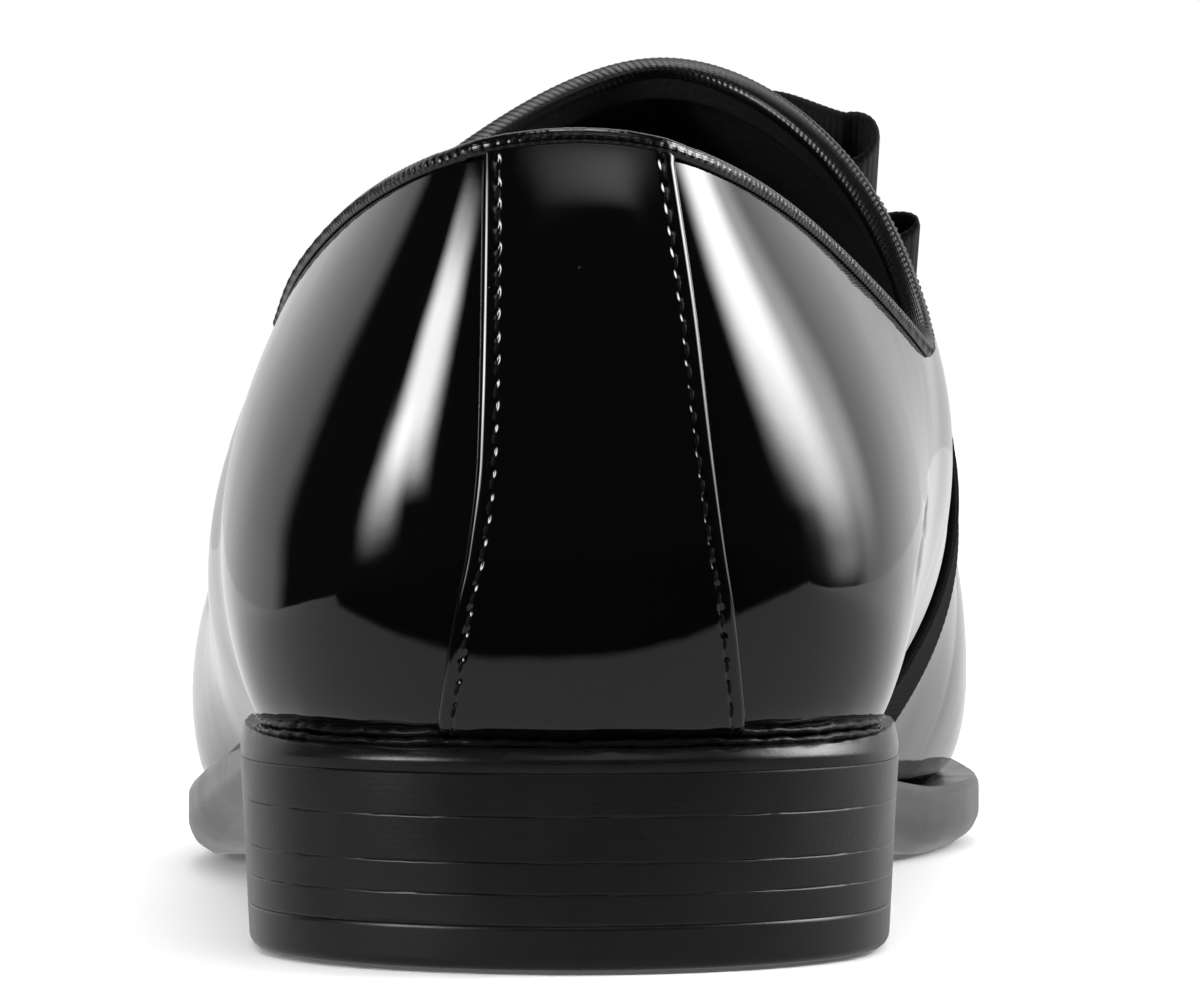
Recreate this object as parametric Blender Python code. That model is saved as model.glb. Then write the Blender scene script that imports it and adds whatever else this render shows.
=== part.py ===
"""Left smoking slipper: sole, heel, insole, hollow upper, ribbon trims and a two-tier bow."""
import math

import bmesh
import bpy
import numpy as np

MM = 0.001
UP = np.array((0.0, 0.0, 1.0))

# Seating gaps and thicknesses, in millimetres like every size below
GAP = 0.3
WALL = 2.0
RIM_WALL = 1.4
OVERLAY = 0.8
RIBBON = 0.9
INSOLE = 2.5

# Ribs of the upper from the heel's back (row 0) to the toe tip (row 15)
# A rib leaves the sole at its foot, swells by low_out and high_out, and ends at the rim or the ridge
# rise and drop are shares of the rib's height, aim is the outward heading in degrees from sideways
TOE = 15
RIB_COLUMNS = ("foot_x", "foot_y", "welt", "low_out", "rise", "high_out", "drop", "aim")
LATERAL_RIBS = (
    (0.0, 2.0, 2.0, 5.0, 0.30, 5.6, 0.30, -90.0),
    (-16.3, 6.4, 2.0, 5.5, 0.31, 6.5, 0.31, -60.0),
    (-28.4, 18.5, 2.1, 7.0, 0.33, 8.5, 0.33, -30.0),
    (-32.9, 36.0, 2.1, 8.0, 0.34, 10.0, 0.34, -6.0),
    (-33.7, 58.0, 2.1, 8.3, 0.34, 8.7, 0.34, 0.0),
    (-34.6, 80.0, 2.3, 9.0, 0.33, 7.4, 0.33, 0.0),
    (-36.8, 101.0, 2.5, 10.5, 0.33, 8.5, 0.33, 0.0),
    (-40.6, 122.0, 2.6, 9.0, 0.34, 6.8, 0.32, 0.0),
    (-45.2, 145.0, 2.4, 8.6, 0.36, 9.1, 0.24, 0.0),
    (-47.2, 168.0, 2.2, 12.8, 0.40, 10.2, 0.02, 0.0),
    (-45.2, 192.0, 2.6, 12.7, 0.42, 15.0, 0.0, 0.0),
    (-40.2, 217.0, 3.0, 10.9, 0.46, 19.0, 0.0, 0.0),
    (-31.8, 243.0, 3.4, 7.5, 0.50, 21.0, 0.0, 4.0),
    (-21.5, 265.0, 3.5, 5.0, 0.53, 19.0, 0.0, 25.0),
    (-10.0, 283.0, 3.5, 4.0, 0.54, 16.0, 0.0, 55.0),
    (5.0, 294.0, 3.5, 3.5, 0.55, 15.0, 0.0, 90.0),
)
MEDIAL_RIBS = (
    LATERAL_RIBS[0],
    (16.3, 6.4, 2.0, 5.5, 0.31, 6.5, 0.31, -60.0),
    (28.3, 18.5, 2.0, 7.0, 0.33, 8.5, 0.33, -30.0),
    (32.4, 35.5, 2.0, 7.5, 0.34, 9.5, 0.34, -6.0),
    (32.5, 57.0, 2.0, 8.3, 0.34, 6.4, 0.34, 0.0),
    (30.6, 79.0, 2.2, 9.7, 0.33, 3.6, 0.33, 0.0),
    (28.8, 101.0, 2.5, 12.6, 0.33, 3.6, 0.33, 0.0),
    (29.6, 122.0, 2.8, 15.5, 0.34, 8.3, 0.32, 0.0),
    (34.0, 144.0, 3.2, 18.4, 0.36, 13.3, 0.24, 0.0),
    (40.6, 168.0, 3.9, 22.5, 0.40, 8.3, 0.02, 0.0),
    (46.2, 192.0, 4.3, 14.5, 0.42, 10.9, 0.0, 0.0),
    (46.8, 216.0, 4.2, 10.8, 0.46, 15.7, 0.0, 0.0),
    (41.4, 241.0, 3.6, 7.0, 0.50, 21.0, 0.0, 4.0),
    (32.0, 263.5, 3.5, 5.0, 0.53, 20.0, 0.0, 25.0),
    (20.5, 282.0, 3.5, 4.0, 0.54, 16.0, 0.0, 55.0),
    LATERAL_RIBS[15],
)

# Collar edge of the upper, a row per rib from the heel's back to the throat (row 9)
THROAT = 9
RIM_COLUMNS = ("rim_x", "rim_y", "rim_z")
LATERAL_RIM = (
    (0.5, 7.0, 83.9),
    (-11.3, 9.8, 82.2),
    (-19.6, 22.5, 79.0),
    (-25.2, 38.5, 75.4),
    (-29.8, 57.0, 71.0),
    (-32.4, 75.0, 67.2),
    (-33.3, 89.5, 66.6),
    (-29.0, 102.4, 73.2),
    (-14.4, 114.8, 86.3),
    (8.9, 124.0, 97.3),
)
MEDIAL_RIM = (
    LATERAL_RIM[0],
    (11.4, 9.8, 82.4),
    (19.6, 22.5, 79.0),
    (26.2, 38.5, 74.6),
    (33.0, 56.0, 68.8),
    (37.8, 74.0, 64.4),
    (39.7, 88.0, 63.6),
    (38.3, 98.5, 71.0),
    (29.5, 113.0, 87.2),
    LATERAL_RIM[9],
)

# Ridge line of the vamp from the throat to the pole of the toe cap
RIDGE_COLUMNS = ("along", "ridge_x", "ridge_z")
RIDGE = (
    (124.0, 8.9, 97.3),
    (150.0, 9.8, 83.6),
    (175.0, 10.2, 70.2),
    (200.0, 9.8, 58.4),
    (225.0, 8.7, 49.2),
    (246.0, 7.3, 43.0),
    (262.0, 6.2, 39.0),
)
POLE_RIB = 13.0
POLE_EASE = 1.35

# Underside height and edge thickness of the outsole along the shoe
SOLE_COLUMNS = ("along", "under", "thick")
SOLE = (
    (0.0, 19.9, 2.6),
    (60.0, 19.9, 2.6),
    (76.0, 17.0, 3.5),
    (100.0, 12.2, 5.2),
    (120.0, 8.4, 6.7),
    (150.0, 2.6, 7.9),
    (173.0, 0.0, 8.6),
    (206.0, 0.0, 8.4),
    (227.0, 1.4, 7.9),
    (250.0, 4.6, 7.5),
    (275.0, 8.2, 7.1),
    (298.0, 11.6, 6.8),
)

# Rounded side of the outsole: how far in from the lip, and how far down its thickness
EDGE_COLUMNS = ("inset", "depth")
SOLE_EDGE = (
    (0.7, 0.0),
    (0.0, 0.16),
    (0.0, 0.52),
    (0.8, 0.80),
    (3.0, 1.0),
)

# Heel: breast line, taper, grooves and the joint above the top piece
BREAST = 75.0
BREAST_HOLLOW = 3.0
HEEL_TAPER = 1.0
HEEL_GROOVES = (15.5, 10.9, 7.7)
GROOVE_WIDE = 0.7
GROOVE_DEEP = 0.45
TOP_PIECE = 4.5

# Back strip edges at heights above the floor
STRIP_COLUMNS = ("height", "lateral_x", "medial_x")
STRIP = (
    (23.0, -13.5, 18.0),
    (36.7, -11.3, 16.6),
    (42.0, -10.2, 15.8),
    (52.0, -9.1, 14.5),
    (67.0, -8.8, 12.8),
    (82.0, -8.7, 10.6),
)

# Binding: how far its ribbon reaches down outside and inside the collar edge, and stands off there
BIND_OUT = 2.1
BIND_IN = 3.0
BIND_LIFT = 0.35
BIND_SPLAY = 0.9

# Vamp band edges along the shoe, from the sole (rise 0) to the ridge (rise 1), and its seat
BAND_SEAT = 0.6
BAND_COLUMNS = ("rise", "medial_near", "medial_far", "lateral_near", "lateral_far")
BAND = (
    (0.0, 121.0, 137.0, 188.0, 204.0),
    (0.15, 125.0, 141.0, 186.0, 202.0),
    (0.35, 130.0, 146.5, 178.0, 194.5),
    (1.0, 141.5, 158.5, 141.5, 158.5),
)

# Bow: seat on the ridge, tilt with the inner side up, and the half depths of its ribbons
BOW_Y = 150.0
BOW_TILT = 3.0
BOW_PINCH = 7.0
BOW_FLARE = 12.5
LOOP_COLUMNS = ("reach", "low", "high")
LOWER_LOOPS = (
    (-24.5, -4.0, -0.8),
    (-15.0, 0.0, 2.4),
    (-5.5, 3.4, 5.2),
    (5.5, 3.4, 5.2),
    (14.0, -2.0, 1.4),
    (26.5, -15.2, -11.8),
)
UPPER_LOOPS = (
    (-14.0, 4.0, 6.6),
    (-10.0, 5.6, 8.0),
    (-5.5, 6.8, 8.6),
    (5.5, 6.8, 8.6),
    (13.0, 5.0, 7.9),
    (22.5, -4.0, 2.6),
)
LOOP_END = 3.5
KNOT_HALF = 5.0
KNOT_WIDE = 12.0
KNOT_LOW = 1.6
KNOT_HIGH = 10.4

# Mesh fineness: ribs per row of the table, more beside the throat, and rows up a rib
RIB_STEPS = 3
THROAT_STEPS = 6
RIB_ROWS = 12
SOLE_STEPS = 2


def clear():
    """Remove everything, so that the part starts from nothing."""
    for item in list(bpy.data.objects):
        bpy.data.objects.remove(item)


def column(table, names, name):
    """One named column of a table."""
    return np.array([row[names.index(name)] for row in table], float)


def steady(xs, ys, at):
    """Smooth curve through a table that never overshoots between its rows."""
    at = np.clip(np.asarray(at, float), xs[0], xs[-1])
    step = np.diff(xs)
    slope = np.diff(ys) / step
    lean = np.zeros(len(xs))
    lean[0] = slope[0]
    lean[-1] = slope[-1]
    for i in range(1, len(xs) - 1):
        if slope[i - 1] * slope[i] > 0.0:
            one = 2.0 * step[i] + step[i - 1]
            two = step[i] + 2.0 * step[i - 1]
            lean[i] = (one + two) / (one / slope[i - 1] + two / slope[i])
    i = np.clip(np.searchsorted(xs, at, side="right") - 1, 0, len(xs) - 2)
    t = (at - xs[i]) / step[i]
    start = (1.0 + 2.0 * t) * (1.0 - t) ** 2 * ys[i] + t * (1.0 - t) ** 2 * step[i] * lean[i]
    end = t * t * (3.0 - 2.0 * t) * ys[i + 1] + t * t * (t - 1.0) * step[i] * lean[i + 1]
    return start + end


def bends(values):
    """Second differences of the smooth closed curve through evenly spaced values."""
    count = len(values)
    system = 4.0 * np.eye(count)
    system += np.roll(np.eye(count), 1, axis=0)
    system += np.roll(np.eye(count), -1, axis=0)
    turn = np.roll(values, 1, axis=0) - 2.0 * values + np.roll(values, -1, axis=0)
    return np.linalg.solve(system, 6.0 * turn)


def round_curve(ring, at):
    """Points of the smooth closed curve at places counted in rows."""
    values, second = ring
    at = np.mod(np.asarray(at, float), len(values))
    i = np.floor(at).astype(int) % len(values)
    j = (i + 1) % len(values)
    t = (at - np.floor(at))[..., None]
    r = 1.0 - t
    bend = (r ** 3 - r) * second[i] + (t ** 3 - t) * second[j]
    return r * values[i] + t * values[j] + bend / 6.0


def round_table(medial, lateral):
    """Both sides of a table joined into one closed curve: heel, inner side, front, outer side."""
    rows = np.array(list(medial) + list(lateral[-2:0:-1]), float)
    return rows, bends(rows)


def rib_table():
    """The rib tables with the aim turned into an outward heading."""
    sides = []
    for rows, sign in ((MEDIAL_RIBS, 1.0), (LATERAL_RIBS, -1.0)):
        side = []
        for row in rows:
            aim = math.radians(row[7])
            side.append(row[:7] + (sign * math.cos(aim), math.sin(aim)))
        sides.append(side)
    return round_table(*sides)


RIBS = rib_table()
RIM = round_table(MEDIAL_RIM, LATERAL_RIM)


def sole_under(along):
    """Height of the outsole's underside."""
    return steady(column(SOLE, SOLE_COLUMNS, "along"), column(SOLE, SOLE_COLUMNS, "under"), along)


def sole_thick(along):
    """Thickness of the outsole at its edge."""
    return steady(column(SOLE, SOLE_COLUMNS, "along"), column(SOLE, SOLE_COLUMNS, "thick"), along)


def sole_top(along):
    """Height of the outsole's upper face."""
    return sole_under(along) + sole_thick(along)


def ridge(along):
    """Ridge line of the vamp."""
    xs = column(RIDGE, RIDGE_COLUMNS, "along")
    side = steady(xs, column(RIDGE, RIDGE_COLUMNS, "ridge_x"), along)
    height = steady(xs, column(RIDGE, RIDGE_COLUMNS, "ridge_z"), along)
    return np.stack((side, np.asarray(along, float), height), axis=-1)


def rib_top(station, place):
    """Upper end of a rib: on the collar edge, then on the ridge, then at the toe's pole."""
    turn = np.where(place <= TOE, np.minimum(station, THROAT), 2 * THROAT - np.minimum(station, THROAT))
    rim = round_curve(RIM, turn)
    share = np.clip((station - THROAT) / (POLE_RIB - THROAT), 0.0, 1.0)
    start = RIDGE[0][0]
    along = start + (RIDGE[-1][0] - start) * (1.0 - (1.0 - share) ** POLE_EASE)
    return np.where((station <= THROAT)[..., None], rim, ridge(along))


def surface(place, rise):
    """Outside of the upper: place runs round the shoe from the heel, rise from sole to rim."""
    place = np.mod(np.asarray(place, float), 2 * TOE)
    place, rise = np.broadcast_arrays(place, np.asarray(rise, float))
    station = np.minimum(place, 2 * TOE - place)
    row = round_curve(RIBS, place)
    foot = np.stack((row[..., 0], row[..., 1], sole_top(row[..., 1]) + GAP), axis=-1)
    top = rib_top(station, place)
    height = (top - foot)[..., 2:3]
    pole_slope = (RIDGE[-1][2] - RIDGE[-2][2]) / (RIDGE[-1][0] - RIDGE[-2][0])
    heading = np.stack((row[..., 7], row[..., 8], np.zeros_like(rise)), axis=-1)
    heading /= np.linalg.norm(heading, axis=-1, keepdims=True)
    falling = heading + UP * (pole_slope * heading[..., 1:2] * (station > THROAT)[..., None])
    low = foot + heading * row[..., 3:4] + UP * (row[..., 4:5] * height)
    high = top + falling * row[..., 5:6] - UP * (row[..., 6:7] * height)
    t = rise[..., None]
    r = 1.0 - t
    return r ** 3 * foot + 3.0 * r * r * t * low + 3.0 * r * t * t * high + t ** 3 * top


def outward(place, rise):
    """Unit normal of the upper's outside."""
    step = 0.002
    rise = np.clip(np.asarray(rise, float), 0.004, 0.985)
    ahead = surface(np.asarray(place) + step, rise) - surface(np.asarray(place) - step, rise)
    above = surface(place, rise + step) - surface(place, rise - step)
    normal = np.cross(ahead, above)
    return normal / np.linalg.norm(normal, axis=-1, keepdims=True)


def wall(place, rise):
    """Wall thickness of the upper, skived towards the collar edge."""
    station = np.minimum(np.mod(place, 2 * TOE), 2 * TOE - np.mod(place, 2 * TOE))
    near = np.clip((np.asarray(rise, float) - 0.86) / 0.14, 0.0, 1.0)
    near = near * np.clip(THROAT + 0.6 - station, 0.0, 1.0)
    return WALL - (WALL - RIM_WALL) * near


def feather(place, out):
    """Plan outline that runs a distance outside the ribs' feet."""
    place = np.asarray(place, float)
    step = 0.002
    foot = round_curve(RIBS, place)[..., :2]
    ahead = round_curve(RIBS, place + step)[..., :2] - round_curve(RIBS, place - step)[..., :2]
    side = np.stack((ahead[..., 1], -ahead[..., 0]), axis=-1)
    side /= np.linalg.norm(side, axis=-1, keepdims=True)
    return foot + side * np.asarray(out, float)[..., None]


def lip(place, inset):
    """Plan outline of the outsole, drawn in by an inset."""
    place = np.asarray(place, float)
    return feather(place, round_curve(RIBS, place)[..., 2] - inset)


def material(name, colour, roughness):
    """Plain coloured material for one piece."""
    made = bpy.data.materials.new(name)
    made.use_nodes = True
    shader = made.node_tree.nodes["Principled BSDF"]
    shader.inputs["Base Color"].default_value = (*colour, 1.0)
    shader.inputs["Roughness"].default_value = roughness
    return made


def solid(name, points, faces, look):
    """Closed mesh object from points in millimetres."""
    mesh = bpy.data.meshes.new(name)
    mesh.from_pydata([tuple(float(c) * MM for c in point) for point in points], [], faces)
    shape = bmesh.new()
    shape.from_mesh(mesh)
    bmesh.ops.recalc_face_normals(shape, faces=shape.faces)
    shape.to_mesh(mesh)
    shape.free()
    mesh.materials.append(look)
    made = bpy.data.objects.new(name, mesh)
    bpy.context.collection.objects.link(made)
    return made


def plan_rows(outline, stations, columns, hollow=0.0):
    """Rows across a plan outline, from its outer to its inner side, heel first."""
    share = np.linspace(0.0, 1.0, columns + 1)[:, None]
    rows = []
    for station in stations:
        inner = outline(np.array(station))
        if station in (0.0, float(TOE)):
            rows.append(inner[None, :])
            continue
        outer = outline(np.array(2.0 * TOE - station))
        rows.append(outer + (inner - outer) * share)
    if hollow:
        rows[-1] = rows[-1] - np.array((0.0, hollow)) * 4.0 * share * (1.0 - share)
    return rows


def plate(name, levels, look):
    """Solid between plan rows stacked from top to bottom, capped at both ends."""
    points = []
    loops = []
    caps = []
    for index, (rows, height) in enumerate(levels):
        ends = index in (0, len(levels) - 1)
        grid = []
        for number, row in enumerate(rows):
            last = number == len(rows) - 1
            kept = []
            for spot, (x, y) in enumerate(row):
                if ends or last or spot in (0, len(row) - 1):
                    kept.append(len(points))
                    points.append((x, y, float(height(x, y))))
            grid.append(kept)
        loop = [grid[0][0]] + [kept[-1] for kept in grid[1:-1]] + grid[-1][::-1]
        loop += [kept[0] for kept in grid[-2:0:-1]]
        loops.append(loop)
        if ends:
            caps.append(grid)
    faces = []
    for upper, lower in zip(loops, loops[1:]):
        for i in range(len(upper)):
            j = (i + 1) % len(upper)
            faces.append((upper[i], upper[j], lower[j], lower[i]))
    for grid in caps:
        for near, far in zip(grid, grid[1:]):
            faces += strip_faces(near, far)
    return solid(name, points, faces, look)


def strip_faces(near, far):
    """Faces between two neighbouring rows, either of which may be a single point."""
    if len(near) == 1:
        return [(near[0], far[i + 1], far[i]) for i in range(len(far) - 1)]
    if len(far) == 1:
        return [(near[i], near[i + 1], far[0]) for i in range(len(near) - 1)]
    return [(near[i], near[i + 1], far[i + 1], far[i]) for i in range(len(near) - 1)]


def ring_faces(order, count):
    """Faces of a closed tube whose rings of points are taken in the given order."""
    order = list(order)
    faces = []
    for low, high in zip(order, order[1:] + order[:1]):
        for i in range(count):
            j = (i + 1) % count
            faces.append((low * count + i, low * count + j, high * count + j, high * count + i))
    return faces


def patch(name, grid, inner, outer, look):
    """Shell that follows the upper's outside between two distances from it."""
    place, rise = grid
    rows, columns = place.shape
    base = surface(place, rise)
    normal = outward(place, rise)
    points = np.concatenate([(base + normal * far).reshape(-1, 3) for far in (outer, inner)])
    size = rows * columns
    faces = []
    for i in range(rows - 1):
        for j in range(columns - 1):
            quad = (i * columns + j, i * columns + j + 1, (i + 1) * columns + j + 1, (i + 1) * columns + j)
            faces.append(quad)
            faces.append(tuple(size + k for k in reversed(quad)))
    edge = [j for j in range(columns)]
    edge += [i * columns + columns - 1 for i in range(1, rows)]
    edge += [(rows - 1) * columns + j for j in range(columns - 2, -1, -1)]
    edge += [i * columns for i in range(rows - 2, 0, -1)]
    for one, two in zip(edge, edge[1:] + edge[:1]):
        faces.append((one, two, two + size, one + size))
    return solid(name, points, faces, look)


def build_outsole(look):
    """Outsole with rounded side, arch, toe spring and a flat tread at the ball."""
    stations = np.linspace(0.0, TOE, SOLE_STEPS * TOE + 1)
    levels = []
    for inset, depth in SOLE_EDGE:
        def outline(place, inset=inset):
            along = round_curve(RIBS, place)[..., 1]
            return lip(place, inset * sole_thick(along) / sole_thick(180.0))

        def height(x, y, depth=depth):
            return sole_top(y) - sole_thick(y) * depth
        levels.append((plan_rows(outline, stations, 5), height))
    return plate("outsole", levels, look)


def heel_stations():
    """Ribs from the heel's back to the breast line."""
    finest = np.linspace(3.0, 7.0, 400)
    end = float(np.interp(BREAST, lip(finest, 0.0)[:, 1], finest))
    return [float(s) for s in np.linspace(0.0, end, 14)]


def heel_level(height, inset):
    """One level of the heel, tapered towards the floor."""
    drawn = inset + HEEL_TAPER * (1.0 - height / SOLE[0][1])

    def outline(place):
        sideways = np.abs(round_curve(RIBS, place)[..., 7])
        return lip(place, drawn * (0.2 + 0.8 * sideways))
    return plan_rows(outline, heel_stations(), 6, BREAST_HOLLOW), lambda x, y: height


def build_heel_block(look):
    """Heel under the seat, with shallow grooves round its side."""
    def under_sole(x, y):
        return sole_under(y) - GAP
    levels = [(heel_level(SOLE[0][1], 0.0)[0], under_sole)]
    for groove in HEEL_GROOVES:
        levels.append(heel_level(groove + GROOVE_WIDE / 2.0, 0.0))
        levels.append(heel_level(groove, GROOVE_DEEP))
        levels.append(heel_level(groove - GROOVE_WIDE / 2.0, 0.0))
    levels.append(heel_level(TOP_PIECE + GAP / 2.0, 0.0))
    return plate("heel_block", levels, look)


def build_heel_top_piece(look):
    """Lowest lift of the heel, flat on the floor."""
    levels = [heel_level(TOP_PIECE - GAP / 2.0, 0.0), heel_level(1.2, 0.1), heel_level(0.0, 1.3)]
    return plate("heel_top_piece", levels, look)


def build_insole(look):
    """Footbed on the outsole, inside the upper's wall."""
    stations = np.linspace(0.0, TOE, SOLE_STEPS * TOE + 1)

    def outline(place):
        return feather(place, -(WALL + 2.0 * GAP) * np.ones_like(place))
    levels = [
        (plan_rows(outline, stations, 4), lambda x, y: sole_top(y) + GAP + INSOLE),
        (plan_rows(outline, stations, 4), lambda x, y: sole_top(y) + GAP),
    ]
    return plate("insole", levels, look)


def rib_stations():
    """Ribs of one side from the heel's back to the toe tip, closest beside the throat."""
    before = np.arange(RIB_STEPS * (THROAT - 1)) / RIB_STEPS
    beside = THROAT - 1 + np.arange(THROAT_STEPS) / THROAT_STEPS
    after = THROAT + np.arange(RIB_STEPS * (TOE - THROAT) + 1) / RIB_STEPS
    return np.concatenate((before, beside, after))


def build_upper(look):
    """Vamp and quarters as one wall, open at the collar and underneath."""
    ribs = rib_stations()
    places = np.concatenate((ribs, 2 * TOE - ribs[-2:0:-1]))
    count = len(places)
    rises = np.linspace(0.0, 1.0, RIB_ROWS + 1)
    place, rise = np.meshgrid(places, rises, indexing="ij")
    outer = surface(place, rise)
    normal = outward(place, rise)
    station = np.minimum(places, 2 * TOE - places)
    for k in range(count):
        if station[k] > THROAT:
            shared = normal[k, -1] + normal[(count - k) % count, -1]
            normal[k, -1] = shared / np.linalg.norm(shared)
    pole = int(np.argmax(station >= POLE_RIB))
    normal[station >= POLE_RIB, -1] = normal[pole, -1]
    inner = outer - normal * wall(place, rise)[..., None]
    inner[:, 0, 2] = outer[:, 0, 2]
    index = np.arange(count * (RIB_ROWS + 1)).reshape(count, RIB_ROWS + 1)
    for k in range(count):
        if station[k] >= POLE_RIB:
            index[k, -1] = index[pole, -1]
        elif station[k] >= THROAT and k > count // 2:
            index[k, -1] = index[count - k, -1]
    used = sorted(set(index.ravel().tolist()))
    fresh = {old: new for new, old in enumerate(used)}
    size = len(used)
    points = np.concatenate([outer.reshape(-1, 3)[used], inner.reshape(-1, 3)[used]])
    faces = []
    for k in range(count):
        n = (k + 1) % count
        for j in range(RIB_ROWS):
            ring = [fresh[int(index[a, b])] for a, b in ((k, j), (n, j), (n, j + 1), (k, j + 1))]
            ring = [spot for i, spot in enumerate(ring) if spot != ring[i - 1]]
            faces.append(tuple(ring))
            faces.append(tuple(size + spot for spot in reversed(ring)))
        one, two = fresh[int(index[k, 0])], fresh[int(index[n, 0])]
        faces.append((two, one, one + size, two + size))
        if max(station[k], station[n]) <= THROAT:
            one, two = fresh[int(index[k, -1])], fresh[int(index[n, -1])]
            faces.append((one, two, two + size, one + size))
    return solid("upper", points, faces, look)


def build_back_strip(look):
    """Tapered strip over the back seam, seated on the upper."""
    rises = np.linspace(0.012, 0.955, 13)
    across = np.linspace(0.0, 1.0, 8)
    finest = np.linspace(-2.2, 2.2, 500)
    heights = column(STRIP, STRIP_COLUMNS, "height")
    place = np.zeros((len(rises), len(across)))
    for i, rise in enumerate(rises):
        line = surface(finest, rise)
        level = float(surface(0.0, rise)[2])
        edges = [steady(heights, column(STRIP, STRIP_COLUMNS, side), level) for side in STRIP_COLUMNS[1:]]
        ends = np.interp(edges, line[:, 0], finest)
        place[i] = ends[0] + (ends[1] - ends[0]) * across
    rise = np.repeat(rises[:, None], len(across), axis=1)
    return patch("back_strip", (place, rise), GAP, GAP + OVERLAY, look)


def build_vamp_band(look):
    """Ribbon band from the sole's edge over the ridge to the other edge."""
    climb = np.linspace(0.02, 1.0, 23)
    across = np.linspace(0.0, 1.0, 5)
    finest = np.linspace(5.0, 12.0, 700)
    rows = []
    for side, rises in (("medial", climb), ("lateral", climb[-2::-1])):
        for rise in rises:
            places = finest if side == "medial" else 2 * TOE - finest
            line = surface(places, rise)
            edges = [steady(column(BAND, BAND_COLUMNS, "rise"), column(BAND, BAND_COLUMNS, side + end), rise)
                     for end in ("_near", "_far")]
            ends = np.interp(edges, line[:, 1], finest)
            ribs = ends[0] + (ends[1] - ends[0]) * across
            rows.append((ribs if side == "medial" else 2 * TOE - ribs, np.full(len(across), rise)))
    place = np.array([row[0] for row in rows])
    rise = np.array([row[1] for row in rows])
    return patch("vamp_band", (place, rise), BAND_SEAT, BAND_SEAT + OVERLAY, look)


def build_topline_binding(look):
    """Ribbon folded over the whole collar edge."""
    ribs = rib_stations()
    ribs = ribs[ribs <= THROAT]
    turn = np.concatenate((ribs, 2 * THROAT - ribs[-2:0:-1]))
    place = np.where(turn <= THROAT, turn, 2 * TOE - (2 * THROAT - turn))
    edge = round_curve(RIM, turn)
    along = round_curve(RIM, turn + 0.01) - round_curve(RIM, turn - 0.01)
    normal = outward(place, 1.0)
    over = np.cross(normal, along)
    over /= np.linalg.norm(over, axis=-1, keepdims=True)
    skin = GAP + OVERLAY
    inside = RIM_WALL + GAP
    section = (
        (skin + BIND_LIFT, -BIND_OUT), (skin, GAP), (GAP, skin), (-inside + GAP, skin),
        (-inside - OVERLAY, GAP), (-inside - OVERLAY - BIND_SPLAY, -BIND_IN),
        (-inside - BIND_SPLAY, -BIND_IN), (-inside, GAP), (GAP, GAP), (GAP + BIND_LIFT, -BIND_OUT),
    )
    points = np.concatenate([edge + normal * out + over * rise for out, rise in section])
    return solid("topline_binding", points, ring_faces(range(len(section)), len(turn)), look)


def bow_frame():
    """Seat of the bow on the ridge, with its sideways, forward and outward headings."""
    seat = ridge(np.array(BOW_Y))
    forward = ridge(np.array(BOW_Y + 4.0)) - ridge(np.array(BOW_Y - 4.0))
    forward = np.array((0.0, forward[1], forward[2]))
    forward /= np.linalg.norm(forward)
    tilt = math.radians(BOW_TILT)
    level = np.cross(np.array((1.0, 0.0, 0.0)), forward)
    sideways = np.array((math.cos(tilt), 0.0, 0.0)) + level * math.sin(tilt)
    return seat, sideways, forward, np.cross(sideways, forward)


def loop_path(table):
    """Middle line of a pair of loops: along the lower ribbon, round the end, back along the upper."""
    reach = column(table, LOOP_COLUMNS, "reach")
    low = column(table, LOOP_COLUMNS, "low")
    high = column(table, LOOP_COLUMNS, "high")
    steps = np.linspace(reach[0], reach[-1], 15)
    path = [(x, float(steady(reach, low, x))) for x in steps]
    for side, row in ((1.0, -1), (-1.0, 0)):
        middle = 0.5 * (low[row] + high[row])
        half = 0.5 * (high[row] - low[row])
        for angle in (-60.0, -25.0, 25.0, 60.0):
            turn = math.radians(angle)
            path.append((reach[row] + side * LOOP_END * math.cos(turn), middle + side * half * math.sin(turn)))
        if side > 0.0:
            path += [(x, float(steady(reach, high, x))) for x in steps[::-1]]
    return np.array(path)


def build_loops(name, table, look):
    """A pair of ribbon loops, pinched in the middle and flared at both ends."""
    seat, sideways, forward, lifted = bow_frame()
    path = loop_path(table)
    ahead = np.roll(path, -1, axis=0) - np.roll(path, 1, axis=0)
    side = np.stack((ahead[:, 1], -ahead[:, 0]), axis=-1)
    side /= np.linalg.norm(side, axis=-1, keepdims=True)
    longest = np.abs(path[:, 0]).max()
    depth = BOW_PINCH + (BOW_FLARE - BOW_PINCH) * (path[:, 0] / longest) ** 2
    across = np.linspace(-1.0, 1.0, 4)
    points = []
    for offset in (RIBBON / 2.0, -RIBBON / 2.0):
        skin = path + side * offset
        for share in across:
            spots = seat + np.outer(skin[:, 0], sideways) + np.outer(depth * share, forward)
            points.append(spots + np.outer(skin[:, 1], lifted))
    points = np.concatenate(points)
    return solid(name, points, ring_faces((0, 1, 2, 3, 7, 6, 5, 4), len(path)), look)


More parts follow.
